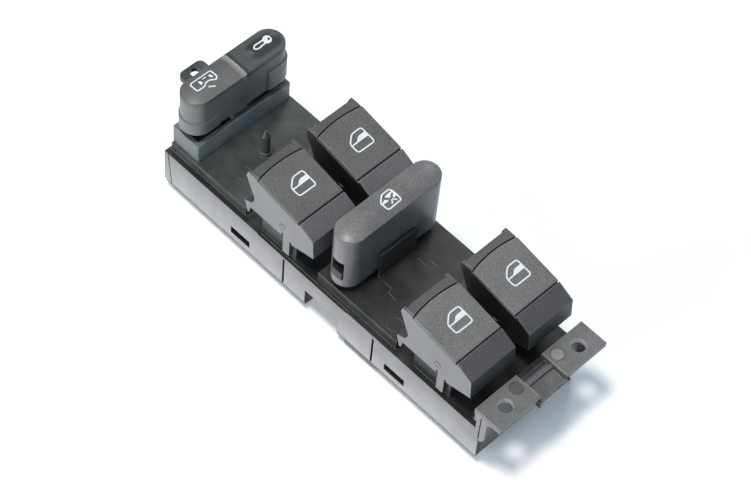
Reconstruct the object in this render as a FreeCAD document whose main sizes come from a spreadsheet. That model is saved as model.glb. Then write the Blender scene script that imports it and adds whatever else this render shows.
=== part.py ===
import FreeCAD, Part
import Sketcher
import math
import os

# Driver's door switch panel: four window rockers, a lockout button and a door lock rocker.
# Frame: origin under the middle of the panel on the surface that it stands on, +X towards
# the two-hole flange, +Z up. The left side of the vehicle is -Y.

doc = FreeCAD.newDocument("window_switch")
sheet = doc.addObject("Spreadsheet::Sheet", "Dims")

SIZES = {
    # Whole panel
    "body_front": -78.8,
    "body_rear": 84.4,
    "body_half": 26.2,
    "skirt_bottom": 4.7,
    "ledge_z": 21.1,
    "ledge_plate": 1.6,
    "wall": 1.8,
    "deck_half": 23.9,
    "deck_z": 25.4,
    "deck_plate": 2.0,
    "deck_end_inset": 1.4,
    "seat_gap": 0.2,
    # Window rockers, measured from their pivots
    "front_pivot_x": -16.5,
    "rocker_pitch_x": 77.9,
    "rocker_pitch_y": 29.0,
    "pivot_z": 36.5,
    "pivot_radius": 1.3,
    "pivot_clearance": 0.06,
    "trunnion_flat": 0.4,
    "rocker_width": 21.96,
    "rocker_skin": 1.6,
    "cheek": 1.3,
    "cheek_gap": 0.28,
    "seam_front": 13.5,
    "seam_rear": 8.3,
    "crown_front": 14.9,
    "crown_rear": 10.2,
    "lip_reach": 17.8,
    "lip_bow": 1.2,
    "lip_fall": 0.6,
    "lip_depth": 2.3,
    "horn_reach": 18.4,
    "horn_nose": 0.7,
    "tail_reach": 15.4,
    "tail_top": 6.2,
    "tail_foot": 16.1,
    "tail_low": 2.7,
    "skirt_low": 5.0,
    "scoop_reach": 14.7,
    "scoop_top": 2.4,
    "scoop_low": 1.8,
    "scoop_step": 1.7,
    "scoop_radius": 4.6,
    "tooth_reach": 19.4,
    "tooth_top": 3.1,
    "tooth_nose": 0.9,
    "tooth_heel": 1.4,
    "tooth_low": 8.8,
    "leg_front": 0.6,
    "leg_rear": 3.9,
    "leg_low": 13.8,
    "relief_width": 0.9,
    "relief_height": 1.6,
    "pad_thick": 1.4,
    "pad_proud": 0.25,
    "seam_gap": 0.6,
    "arm_thick": 3.0,
    "arm_width": 4.0,
    "arm_tip_z": 15.6,
    "arm_play": 0.08,
    "arm_side_gap": 0.5,
    "web_thick": 1.6,
    "web_low": 4.3,
    # Openings round the rockers and the towers that carry them
    "pocket_front": 20.5,
    "pocket_rear": 17.5,
    "tower_front": 11.8,
    "tower_rear": 6.1,
    "tower_top": 2.6,
    "tower_wall": 1.5,
    "arm_slot": 8.6,
    # Door lock rocker on its block
    "lock_x": -70.7,
    "block_half_x": 6.9,
    "block_half_y": 23.0,
    "block_top": 34.5,
    "block_corner": 0.4,
    "lock_radius": 6.2,
    "lock_half_length": 23.8,
    "lock_bottom": 38.9,
    "lock_edge_z": 56.3,
    "lock_crown": 1.3,
    "roll_start_y": -1.8,
    "roll_length": 3.2,
    "roll_drop": 0.65,
    "roll_wall": 0.45,
    "dish_y": 15.0,
    "dish_depth": 0.9,
    "dish_half_x": 4.2,
    "dish_half_y": 7.9,
    "lock_pivot_z": 43.1,
    "lock_arm_width": 2.4,
    "lock_step_y": 12.0,
    "lock_step_z": 45.0,
    "lock_step_proud": 0.45,
    "band_y": 12.0,
    "band_top": 48.4,
    "band_proud": 0.9,
    "cap_wall": 1.5,
    "lock_tower_half": 3.2,
    "lock_tower_rise": 2.6,
    # Window lockout button
    "child_x": 9.7,
    "child_radius": 5.95,
    "child_half_length": 24.15,
    "child_bottom": 28.7,
    "child_edge_z": 55.6,
    "child_crown": 1.5,
    "window_low": 32.6,
    "window_high": 42.2,
    "window_half": 2.9,
    "hook_side_gap": 0.4,
    "hook_height": 3.2,
    "post_y": 15.0,
    "post_thick": 3.2,
    "post_top": 47.0,
    "collar_half": 9.0,
    "collar_top": 38.8,
    "collar_gap": 0.35,
    "collar_wall": 1.2,
    "boss_half": 3.6,
    "boss_top": 41.0,
    "stem_half": 1.7,
    "stem_low": 17.4,
    "stem_gap": 0.12,
    "stem_socket_wall": 1.3,
    "stem_grip": 4.5,
    "button_travel": 2.5,
    "travel_spare": 0.3,
    # Flange with two screw holes, and the locating lug at the other end
    "flange_lap": 3.1,
    "flange_reach": 9.0,
    "flange_half": 26.8,
    "flange_z": 33.1,
    "flange_thick": 2.4,
    "channel_half": 6.5,
    "channel_drop": 2.6,
    "channel_set": 1.1,
    "channel_reach": 10.15,
    "channel_wall": 1.2,
    "channel_floor": 1.6,
    "end_plate": 1.6,
    "screw_set": 3.2,
    "screw_half_pitch": 18.4,
    "screw_radius": 2.9,
    "bite": 0.35,
    "gusset": 1.5,
    "gusset_foot": 11.8,
    "gusset_reach": 3.0,
    "gusset_heel": 5.0,
    "gusset_curve": 3.0,
    "corner_slit": 0.5,
    "corner_slit_depth": 1.2,
    "lug_front": -94.55,
    "lug_half": 5.85,
    "lug_thick": 2.2,
    "lug_corner": 2.4,
    "lug_hole_x": -90.9,
    "lug_hole_radius": 2.1,
    "lug_rib": 1.4,
    "pin_x": -51.0,
    "pin_y": -1.4,
    "pin_radius": 1.9,
    "pin_collar": 0.5,
    "pin_collar_high": 1.6,
    "pin_taper": 2.7,
    "pin_top": 38.4,
    # Slots, snap windows and the notch in the long walls
    "slot_a_x": -14.2,
    "slot_b_x": 31.9,
    "wall_slot": 0.9,
    "snap_a_x": -37.2,
    "snap_b_x": 43.4,
    "snap_length": 10.0,
    "snap_low": 7.6,
    "snap_high": 11.2,
    "notch_front": -2.7,
    "notch_rear": 14.2,
    "notch_top": 12.3,
    "rim_step_front": -27.95,
    "rim_step_rear": 18.35,
    "rim_step": 0.55,
    "rim_step_width": 1.1,
    "end_line_top_x": -76.85,
    "end_line_foot_x": -74.85,
    "end_line_width": 0.4,
    "end_line_depth": 0.35,
    # Lower cover with the connector socket
    "cover_inset": 0.4,
    "cover_plate": 1.8,
    "cover_wall": 1.4,
    "cover_high": 9.6,
    "cover_gap": 0.2,
    "tongue_length": 8.6,
    "hook_proud": 1.5,
    "hook_slope": 2.0,
    "rib_front": 18.0,
    "rib_rear": 32.0,
    "rib_taper": 7.0,
    "rib_low": 1.5,
    "foot_front_x": -58.0,
    "foot_rear_x": 62.0,
    "foot_y": 17.0,
    "foot_half": 3.0,
    "socket_x": 5.75,
    "socket_half_x": 6.4,
    "socket_half_y": 13.0,
    "socket_wall": 1.4,
    "socket_roof": 9.8,
    "key_half": 1.5,
    "notch_depth": 9.2,
    # Circuit board and what stands on it
    "board_z": 11.8,
    "board_thick": 1.6,
    "board_edge": 0.8,
    "board_post_half": 1.7,
    "board_post_front_x": -66.0,
    "board_post_mid_x": -38.0,
    "board_post_rear_x": 74.0,
    "board_post_y": 18.0,
    "contact_size": 0.64,
    "contact_spacing": 2.9,
    "contact_row": 2.6,
    "contact_low": 4.7,
    "contact_clearance": 0.12,
    "slider_length": 8.4,
    "slider_width": 8.0,
    "slider_height": 5.8,
    "slider_gap": 0.15,
    "slider_floor": 1.7,
    "slider_flare": 0.5,
    "rail": 1.3,
    "rail_half": 9.5,
    "blade": 0.3,
    "blade_height": 3.0,
    "blade_gap": 0.12,
    "blade_end": 0.8,
    "rest_gap": 1.0,
    "rest_length": 1.6,
    "lock_rest_gap": 0.4,
    "lock_rest_length": 0.8,
    "guide_x": -8.3,
    "guide_half": 1.1,
    "guide_flange": 1.7,
    "guide_flange_thick": 0.8,
    "guide_top": 45.0,
    "deck_guide_y": 8.0,
    "deck_guide_top": 50.6,
    "lamp_size": 2.4,
    "lamp_height": 1.1,
    "lamp_gap": 0.3,
    "latch_front": 3.0,
    "latch_rear": 5.4,
    "latch_half_y": 6.0,
    "latch_top": 20.4,
    "latch_gap": 0.3,
    "spring_wire": 0.55,
    "spring_radius": 2.9,
    "spring_turns": 3,
}

for row, (alias, value) in enumerate(SIZES.items(), start=1):
    sheet.set(f"A{row}", alias)
    sheet.set(f"B{row}", str(value))
    sheet.setAlias(f"B{row}", alias)
doc.recompute()


class Size:
    """A number that remembers the sheet expression it came from."""

    def __init__(self, value, text):
        self.value = value
        self.text = text

    def join(self, other, sign, value, swap=False):
        other_text = other.text if isinstance(other, Size) else str(other)
        pair = (other_text, self.text) if swap else (self.text, other_text)
        return Size(value, f"({pair[0]} {sign} {pair[1]})")

    def __add__(self, other):
        return self.join(other, "+", self.value + number(other))

    def __radd__(self, other):
        return self.join(other, "+", other + self.value, swap=True)

    def __sub__(self, other):
        return self.join(other, "-", self.value - number(other))

    def __rsub__(self, other):
        return self.join(other, "-", other - self.value, swap=True)

    def __mul__(self, other):
        return self.join(other, "*", self.value * number(other))

    def __rmul__(self, other):
        return self.join(other, "*", other * self.value, swap=True)

    def __truediv__(self, other):
        return self.join(other, "/", self.value / number(other))

    def __neg__(self):
        return Size(-self.value, f"(0 - {self.text})")


def number(size):
    return size.value if isinstance(size, Size) else float(size)


class Sheet:
    """Reads a size out of the spreadsheet by its alias."""

    def __getattr__(self, alias):
        return Size(float(sheet.get(alias)), f"Dims.{alias}")


D = Sheet()
made = {}


def bind(obj, prop, size):
    if isinstance(size, Size):
        obj.setExpression(prop, size.text)
    elif "." in prop:
        obj.setExpression(prop, str(size))
    else:
        setattr(obj, prop, size)


def put(obj, x=0, y=0, z=0):
    for axis, size in (("x", x), ("y", y), ("z", z)):
        bind(obj, f"Placement.Base.{axis}", size)
    return obj


def block(name, x, y, z):
    """A box between three pairs of limits."""
    obj = doc.addObject("Part::Box", name)
    bind(obj, "Length", x[1] - x[0])
    bind(obj, "Width", y[1] - y[0])
    bind(obj, "Height", z[1] - z[0])
    return put(obj, x[0], y[0], z[0])


TURN = {
    "Z": FreeCAD.Rotation(),
    "X": FreeCAD.Rotation(FreeCAD.Vector(0, 1, 0), 90),
    "Y": FreeCAD.Rotation(FreeCAD.Vector(1, 0, 0), -90),
}


def rod(name, radius, length, x=0, y=0, z=0, axis="Z"):
    """A cylinder that starts at a point and runs along an axis."""
    obj = doc.addObject("Part::Cylinder", name)
    bind(obj, "Radius", radius)
    bind(obj, "Height", length)
    obj.Placement.Rotation = TURN[axis]
    return put(obj, x, y, z)


def ball(name, radius, x, y, z):
    """A sphere whose poles lie along X."""
    obj = doc.addObject("Part::Sphere", name)
    bind(obj, "Radius", radius)
    obj.Placement.Rotation = TURN["X"]
    return put(obj, x, y, z)


PLANE = {
    "XY": FreeCAD.Rotation(),
    "XZ": FreeCAD.Rotation(FreeCAD.Vector(1, 0, 0), 90),
    "YZ": FreeCAD.Rotation(FreeCAD.Vector(1, 1, 1), 120),
}


def draw(sketch, points):
    """A closed outline of lines, and of arcs where a point carries a radius.

    A positive radius turns anticlockwise on the way to that point, a negative one clockwise.
    """
    spots = [FreeCAD.Vector(number(p[0]), number(p[1]), 0) for p in points]
    for index, point in enumerate(points):
        start, end = spots[index - 1], spots[index]
        if len(point) == 2:
            sketch.addGeometry(Part.LineSegment(start, end), False)
            continue
        radius = number(point[2])
        chord = end - start
        middle = (start + end) * 0.5
        across = FreeCAD.Vector(-chord.y, chord.x, 0).normalize()
        rise = math.sqrt(max(radius ** 2 - (chord.Length / 2) ** 2, 0))
        side = 1 if radius > 0 else -1
        centre = middle + across * (side * rise)
        crest = centre - across * (side * abs(radius))
        sketch.addGeometry(Part.Arc(start, crest, end), False)
    count = len(points)
    for index, point in enumerate(points):
        arc = sketch.Geometry[index]
        clockwise = len(point) == 3 and number(point[2]) < 0
        follower = (index + 1) % count
        next_clockwise = len(points[follower]) == 3 and number(points[follower][2]) < 0
        tail = 1 if clockwise else 2
        head = 2 if next_clockwise else 1
        sketch.addConstraint(Sketcher.Constraint("Coincident", index, tail, follower, head))
        for kind, size in (("DistanceX", point[0]), ("DistanceY", point[1])):
            spot = Sketcher.Constraint(kind, -1, 1, index, tail, number(size))
            where = sketch.addConstraint(spot)
            if isinstance(size, Size):
                sketch.setExpression(f"Constraints[{where}]", size.text)
        if len(point) == 3:
            where = sketch.addConstraint(Sketcher.Constraint("Radius", index, arc.Radius))
            if isinstance(point[2], Size):
                sign = "-1 * " if clockwise else ""
                sketch.setExpression(f"Constraints[{where}]", sign + point[2].text)


def profile(name, plane, points, offset=0):
    """A sketch in one of the main planes, moved along the plane's third axis."""
    sketch = doc.addObject("Sketcher::SketchObject", name)
    draw(sketch, points)
    sketch.Placement.Rotation = PLANE[plane]
    third = {"XY": "z", "XZ": "y", "YZ": "x"}[plane]
    bind(sketch, f"Placement.Base.{third}", offset)
    return sketch


def prism(name, plane, points, start, end):
    """A profile drawn out from one level to another."""
    obj = doc.addObject("Part::Extrusion", name)
    obj.Base = profile(name + "_outline", plane, points, start)
    obj.DirMode = "Custom"
    obj.Dir = {"XY": (0, 0, 1), "XZ": (0, 1, 0), "YZ": (1, 0, 0)}[plane]
    bind(obj, "LengthFwd", end - start)
    obj.Solid = True
    return obj


def turned(name, points, x=0, y=0, z=0):
    """A half profile in the XZ plane turned about the vertical axis through a point."""
    obj = doc.addObject("Part::Revolution", name)
    obj.Source = profile(name + "_outline", "XZ", points)
    obj.Axis = (0, 0, 1)
    obj.Angle = 360
    obj.Solid = True
    return put(obj, x, y, z)


def join(name, *pieces):
    obj = doc.addObject("Part::MultiFuse", name)
    obj.Shapes = list(pieces)
    obj.Refine = True
    return obj


def carve(name, base, *tools):
    obj = doc.addObject("Part::Cut", name)
    obj.Base = base
    obj.Tool = tools[0] if len(tools) == 1 else join(name + "_tools", *tools)
    obj.Refine = True
    return obj


def shared(name, one, other):
    obj = doc.addObject("Part::Common", name)
    obj.Base = one
    obj.Tool = other
    obj.Refine = True
    return obj


def rounded(name, base, radius, pick):
    """Rounds the edges that a test on their shape picks out."""
    doc.recompute()
    obj = doc.addObject("Part::Fillet", name)
    obj.Base = base
    size = number(radius)
    obj.Edges = [(i, size, size) for i, e in enumerate(base.Shape.Edges, start=1) if pick(e)]
    return obj


def upright(edge):
    """True for a straight edge along Z."""
    if edge.Curve.TypeId != "Part::GeomLine":
        return False
    return abs(edge.Curve.Direction.z) > 0.999


def deliver(label, obj):
    """Names a finished sub-part."""
    obj.Label = label
    made[label] = obj
    return obj


def copy_of(label, form, x, y, z):
    """A sub-part with the shape of a form, moved to its own place."""
    doc.recompute()
    obj = doc.addObject("Part::Feature", label)
    obj.Shape = form.Shape.copy()
    put(obj, x, y, z)
    return deliver(label, obj)


SIDES = {"left": -1, "right": 1}
PAIRS = {"front": 0, "rear": 1}


def pivot_x(pair):
    return D.front_pivot_x + PAIRS[pair] * D.rocker_pitch_x


def rocker_y(side):
    return SIDES[side] * D.rocker_pitch_y / 2


# Levels that several pieces share
floor_top = D.ledge_z
floor_low = D.ledge_z - D.ledge_plate
board_top = D.board_z + D.board_thick
deck_low = D.deck_z - D.deck_plate
flange_low = D.flange_z - D.flange_thick
flange_front = D.body_rear - D.flange_lap
flange_rear = D.body_rear + D.flange_reach
channel_front = D.body_rear + D.channel_set
channel_lip = D.body_rear + D.channel_reach
screw_x = D.body_rear + D.screw_set
far_top = D.lock_edge_z + D.lock_crown - D.roll_drop - D.roll_wall
lock_tower_top = D.lock_pivot_z + D.lock_tower_rise
socket_low = D.child_edge_z - D.cap_wall - D.stem_grip - D.stem_socket_wall
spring_pitch = (socket_low - D.boss_top - D.spring_wire) / D.spring_turns
spring_reach = {
    "X": (D.arm_width / 2, D.rest_gap, D.rest_length),
    "Y": (D.lock_arm_width / 2, D.lock_rest_gap, D.lock_rest_length),
}

# How far a cutting tool runs past what it cuts, in millimetres
PAST = 1

# Straight lengths in one turn of the coil spring
COIL_SIDES = 10

# The connector's grid of contacts
ROWS = 2
PLACES = 8


# Window rocker: two cheeks joined by a bent skin, with an arm down the middle
def cheek_outline():
    """One cheek in side view, with its horn, tooth and leg."""
    lower = -D.skirt_low
    front_slot = D.leg_front - D.relief_width
    rear_slot = D.leg_rear + D.relief_width
    return [
        (-D.seam_front - D.lip_bow, D.crown_front - D.pad_thick / 2),
        (-D.horn_reach, D.crown_front - D.lip_fall),
        (-D.horn_reach - D.horn_nose, D.crown_front - D.lip_fall - D.lip_depth),
        (-D.scoop_reach, D.scoop_top),
        (-D.scoop_reach - D.scoop_step, -D.scoop_low, -D.scoop_radius),
        (-D.tooth_reach, -D.tooth_top),
        (-D.tooth_reach, -D.tooth_top - D.tooth_nose),
        (-D.tooth_reach + D.tooth_heel, -D.tooth_low),
        (-D.tooth_reach + D.tooth_heel + D.relief_width, -D.tooth_low + D.horn_nose),
        (-D.tooth_reach + D.tooth_heel * 2, lower),
        (front_slot, lower),
        (front_slot, lower + D.relief_height),
        (D.leg_front, lower + D.relief_height),
        (D.leg_front, -D.leg_low),
        (D.leg_rear, -D.leg_low),
        (D.leg_rear, lower),
        (rear_slot, lower),
        (rear_slot, lower - D.relief_width),
        (D.tail_foot, -D.tail_low),
        (D.tail_reach, D.tail_top),
        (D.seam_rear, D.crown_rear - D.pad_thick / 4),
    ]


def skin_outline():
    """The bent skin in section: lip, seat of the pad, rear slope, rear wall and finger scoop."""
    skin = D.rocker_skin
    seat_front = D.crown_front - D.pad_proud - D.pad_thick
    seat_rear = D.crown_rear - D.pad_proud - D.pad_thick
    return [
        (-D.lip_reach, D.crown_front - D.lip_fall),
        (-D.seam_front, D.crown_front - D.pad_proud),
        (-D.seam_front, seat_front),
        (D.seam_rear, seat_rear),
        (D.seam_rear, D.crown_rear - D.pad_proud),
        (D.tail_reach, D.tail_top),
        (D.tail_foot, -D.tail_low),
        (D.tail_foot - skin, -D.tail_low),
        (D.tail_reach - skin, D.tail_top - skin),
        (D.seam_rear, seat_rear - skin),
        (-D.seam_front + skin, seat_front - skin),
        (-D.scoop_reach + skin, D.scoop_top),
        (-D.scoop_reach, -D.scoop_low, -D.scoop_radius),
        (-D.tooth_reach + skin * 2, -D.tooth_top - D.scoop_low),
        (-D.tooth_reach, -D.tooth_top - D.tooth_nose),
        (-D.tooth_reach, -D.tooth_top),
        (-D.scoop_reach - D.scoop_step, -D.scoop_low),
        (-D.scoop_reach, D.scoop_top, D.scoop_radius),
        (-D.lip_reach - D.lip_bow / 2, D.crown_front - D.lip_fall - D.lip_depth),
    ]


def bowed_front(name, reach, low, high):
    """A plan shape whose front edge bows forward across the rocker's width."""
    half = D.rocker_width / 2
    sweep = (D.rocker_width * D.rocker_width / 4 + D.lip_bow * D.lip_bow) / (2 * D.lip_bow)
    corners = [
        (-reach, half),
        (-reach, -half, sweep),
        (D.tail_foot + PAST, -half),
        (D.tail_foot + PAST, half),
    ]
    return prism(name, "XY", corners, low, high)


def make_rocker():
    half = D.rocker_width / 2
    inner = half - D.cheek
    cheeks = [
        prism("cheek_left", "XZ", cheek_outline(), -half, -inner),
        prism("cheek_right", "XZ", cheek_outline(), inner, half),
    ]
    skin = shared(
        "bowed_skin",
        prism("skin", "XZ", skin_outline(), -inner - D.cheek / 2, inner + D.cheek / 2),
        bowed_front("skin_plan", D.lip_reach - D.lip_bow / 2, -D.pivot_z, D.crown_front),
    )
    scoop = shared(
        "scoop",
        prism("scoop_wall", "XZ", skin_outline(), -inner - D.cheek / 3, inner + D.cheek / 3),
        block("scoop_zone", (-D.tooth_reach - PAST, D.tooth_reach), (-half, half),
              (-D.tooth_low, D.crown_front - D.lip_fall - D.lip_depth)),
    )
    arm = prism("arm", "XZ", arm_outline(D.arm_tip_z - D.pivot_z, D.crown_rear),
                -D.arm_width / 2, D.arm_width / 2)
    web = block("arm_web", (-D.web_thick / 2, D.web_thick / 2), (-inner, inner),
                (D.web_low, D.crown_rear + D.web_thick / 2))
    bore = D.pivot_radius + D.pivot_clearance
    holes = [
        rod("pivot_hole_left", bore, D.cheek + PAST, 0, -half - PAST, 0, "Y"),
        rod("pivot_hole_right", bore, D.cheek + PAST, 0, inner, 0, "Y"),
    ]
    solid = join("rocker_solid", *cheeks, skin, scoop, arm, web)
    room = pad_slab("pad_room", 0, D.horn_nose)
    return carve("rocker_form", solid, *holes, room)


def arm_outline(low, high):
    """An arm across its thickness, with both corners of its tip cut off."""
    half = D.arm_thick / 2
    return [
        (-half, high),
        (-half, low + half),
        (-half / 2, low),
        (half / 2, low),
        (half, low + half),
        (half, high),
    ]


def pad_slab(name, gap, spare):
    """The pad's room above its seat in the skin, less a gap at both seams."""
    low_front = D.crown_front - D.pad_proud - D.pad_thick
    low_rear = D.crown_rear - D.pad_proud - D.pad_thick
    slope = (low_rear - low_front) / (D.seam_rear + D.seam_front)
    front = -D.seam_front + gap - D.lip_bow
    section = [
        (front, low_front + slope * (gap - D.lip_bow)),
        (D.seam_rear - gap, low_rear - slope * gap),
        (D.seam_rear - gap, D.crown_rear + spare),
        (front, D.crown_front + spare),
    ]
    half = D.rocker_width / 2 + spare
    slab = prism(name + "_slab", "XZ", section, -half, half)
    plan = bowed_front(name + "_plan", D.seam_front - gap, -D.tooth_low, D.crown_front + PAST)
    return shared(name, slab, plan)


def long_round(name, half_length, radius, x, low, high):
    """A solid with round ends, long along Y."""
    straight = half_length - radius
    return join(
        name,
        block(name + "_middle", (x - radius, x + radius), (-straight, straight), (low, high)),
        rod(name + "_left", radius, high - low, x, -straight, low),
        rod(name + "_right", radius, high - low, x, straight, low),
    )


def crowned_cap(name, x, radius, half_length, low, edge, crown):
    """A long cap with round ends and a domed top, hollow from below."""
    straight = half_length - radius
    dome = (radius * radius + crown * crown) / (2 * crown)
    outer = join(
        name + "_outer",
        long_round(name + "_skirt", half_length, radius, x, low, edge),
        shared(
            name + "_crown",
            long_round(name + "_crown_blank", half_length, radius, x, edge, edge + crown),
            round_bar(name + "_dome", dome, x, (-straight, straight), edge + crown - dome),
        ),
    )
    inner, side = radius - D.cap_wall, straight
    shoulder = inner * math.sin(math.radians(60))
    outline = []
    for end in (-1, 1):
        outline += [
            (x + inner * end, side * end),
            (x + inner / 2 * end, (side + shoulder) * end),
            (x - inner / 2 * end, (side + shoulder) * end),
            (x - inner * end, side * end),
        ]
    hollow = prism(name + "_hollow", "XY", outline, low - PAST, edge - D.cap_wall)
    return carve(name + "_shell", outer, hollow)


# Lock rocker: a raised near half, a dished far half and trunnion holes in its long sides
def lock_far_cut():
    """What is taken off the top of the far half: a rolled edge, then a short upright wall."""
    crest = D.lock_edge_z + D.lock_crown
    roll_end = D.roll_start_y + D.roll_length
    roll_radius = (D.roll_length * D.roll_length + D.roll_drop * D.roll_drop) / (2 * D.roll_drop)
    outline = [
        (roll_end, crest - D.roll_drop, -roll_radius),
        (roll_end, far_top),
        (D.lock_half_length + PAST, far_top),
        (D.lock_half_length + PAST, crest + PAST),
        (D.roll_start_y, crest + PAST),
        (D.roll_start_y, crest),
    ]
    return prism("lock_far_cut", "YZ", outline, D.lock_x - D.lock_radius - PAST,
                 D.lock_x + D.lock_radius + PAST)


def lock_dish():
    """The round-ended bar that sinks the shallow oval dish into the far half."""
    half_x, deep = D.dish_half_x, D.dish_depth
    radius = (half_x * half_x + deep * deep) / (2 * deep)
    low, high = D.dish_y - D.dish_half_y + half_x, D.dish_y + D.dish_half_y - half_x
    return round_bar("lock_dish", radius, D.lock_x, (low, high), far_top - deep + radius)


def round_bar(name, radius, x, y, z):
    """A bar along Y with half a ball at each end."""
    return join(
        name,
        rod(name + "_middle", radius, y[1] - y[0], x, y[0], z, "Y"),
        ball(name + "_left", radius, x, y[0], z),
        ball(name + "_right", radius, x, y[1], z),
    )


def lock_band(name, proud, top, ends):
    """A band round the lower edge of one end of the lock rocker."""
    x, radius, length = D.lock_x, D.lock_radius, D.lock_half_length
    low = D.lock_bottom
    return shared(
        name,
        carve(name + "_ring",
              long_round(name + "_outer", length + proud, radius + proud, x, low, top),
              long_round(name + "_inner", length - D.cap_wall / 2, radius - D.cap_wall / 2, x,
                         low - PAST, top + PAST)),
        block(name + "_zone", (x - radius - proud, x + radius + proud), ends, (low, top)),
    )


def make_lock():
    x, radius, length = D.lock_x, D.lock_radius, D.lock_half_length
    low, edge = D.lock_bottom, D.lock_edge_z
    shell = crowned_cap("lock", x, radius, length, low, edge, D.lock_crown)
    bands = [
        lock_band("near_band", D.lock_step_proud, D.lock_step_z,
                  (-length - D.lock_step_proud, -D.lock_step_y)),
        lock_band("far_band", D.band_proud, D.band_top, (D.band_y, length + D.band_proud)),
    ]
    bar = block("lock_bar", (x - radius + D.cap_wall / 2, x + radius - D.cap_wall / 2),
                (-D.web_thick / 2, D.web_thick / 2), (D.lock_pivot_z + D.web_low, edge))
    arm = prism("lock_arm", "YZ", arm_outline(D.arm_tip_z, edge - D.cap_wall / 2),
                x - D.lock_arm_width / 2, x + D.lock_arm_width / 2)
    bore = D.pivot_radius + D.pivot_clearance
    holes = [
        rod("lock_pivot_hole_front", bore, D.cap_wall + PAST, x - radius - PAST, 0, D.lock_pivot_z, "X"),
        rod("lock_pivot_hole_rear", bore, D.cap_wall + PAST, x + radius - D.cap_wall, 0,
            D.lock_pivot_z, "X"),
    ]
    body = carve("lock_body", shell, lock_far_cut(), lock_dish())
    solid = join("lock_solid", body, *bands, bar, arm)
    deliver("lock_rocker", carve("lock_rocker_form", solid, *holes))


# Lockout button: a deep cap with a snap window in each end, and its stem
def square(name, half, z):
    """A square bar or bore on the lockout button's line."""
    return block(name, (D.child_x - half, D.child_x + half), (-half, half), z)


def make_lockout():
    x = D.child_x
    shell = crowned_cap("lockout", x, D.child_radius, D.child_half_length, D.child_bottom,
                        D.child_edge_z, D.child_crown)
    windows = block("lockout_windows", (x - D.window_half, x + D.window_half),
                    (-D.child_half_length - PAST, D.child_half_length + PAST),
                    (D.window_low, D.window_high))
    socket = square("stem_socket", D.stem_half + D.stem_socket_wall,
                    (socket_low, D.child_edge_z))
    bore = square("stem_socket_bore", D.stem_half, (socket_low, socket_low + D.stem_grip))
    solid = join("lockout_solid", carve("lockout_body", shell, windows), socket)
    deliver("lockout_button", carve("lockout_button_form", solid, bore))
    deliver("lockout_stem", square("stem", D.stem_half, (D.stem_low, socket_low + D.stem_grip)))


def make_coil():
    """The return spring round the stem: square wire bent round in short straight lengths."""
    turn = 2 * math.pi / COIL_SIDES
    radius, rise = number(D.spring_radius), number(spring_pitch) / COIL_SIDES
    nodes = []
    for step in range(COIL_SIDES * int(number(D.spring_turns)) + 1):
        angle = turn * (step - 0.5)
        nodes.append(FreeCAD.Vector(radius * math.cos(angle), radius * math.sin(angle),
                                    rise * step))
    path = doc.addObject("Part::Polygon", "coil_path")
    path.Nodes = nodes
    half = D.spring_wire / 2
    middle = D.spring_radius * math.cos(turn / 2)
    wire = profile("coil_wire", "XZ", [
        (middle - half, -half),
        (middle + half, -half),
        (middle + half, half),
        (middle - half, half),
    ], D.spring_radius * -math.sin(turn / 2))
    coil = doc.addObject("Part::Sweep", "coil")
    coil.Sections = [wire]
    coil.Spine = path
    coil.Solid = True
    coil.Transition = "Right corner"
    put(coil, D.child_x, 0, D.boss_top + D.spring_wire / 2)
    deliver("lockout_spring", coil)


# Upper housing: one moulding with the deck, walls, towers, block, flange and lug
def hat_section():
    """The long walls, ledges and raised deck in section, of one wall thickness inside."""
    wall = D.wall
    half = [
        (D.body_half - wall, D.skirt_bottom),
        (D.body_half, D.skirt_bottom),
        (D.body_half, D.ledge_z),
        (D.deck_half, D.ledge_z),
        (D.deck_half, D.deck_z),
    ]
    inside = [
        (D.deck_half - wall, deck_low),
        (D.deck_half - wall, floor_low),
        (D.body_half - wall, floor_low),
    ]
    mirrored = [(-y, z) for y, z in reversed(half)]
    return half + mirrored + [(-y, z) for y, z in reversed(inside)] + inside


def pocket_limits(pair):
    middle = pivot_x(pair)
    return (middle - D.pocket_front, middle + D.pocket_rear)


def make_pocket(pair):
    """The sunk floor under a pair of rockers, with walls up to the deck at its ends."""
    low, high = pocket_limits(pair)
    pan = block(f"{pair}_pan", (low - D.wall, high + D.wall), (-D.deck_half, D.deck_half),
                (floor_low, D.deck_z))
    hollow = block(f"{pair}_pan_hollow", (low, high), (-D.body_half, D.body_half),
                   (floor_top, D.deck_z + PAST))
    return carve(f"{pair}_pan_form", pan, hollow)


def slider_rails(tag, x, y, ceiling, along):
    """Two rails under a floor that keep a slider straight and hold the board down."""
    near = D.slider_width / 2 + D.slider_gap
    rails = []
    for side, sign in SIDES.items():
        low, high = (near, near + D.rail) if sign > 0 else (-near - D.rail, -near)
        span = (-D.rail_half, D.rail_half)
        x_part, y_part = (span, (low, high)) if along == "X" else ((low, high), span)
        rails.append(block(f"{tag}_rail_{side}", (x + x_part[0], x + x_part[1]),
                           (y + y_part[0], y + y_part[1]), (board_top, ceiling)))
    return rails


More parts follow.
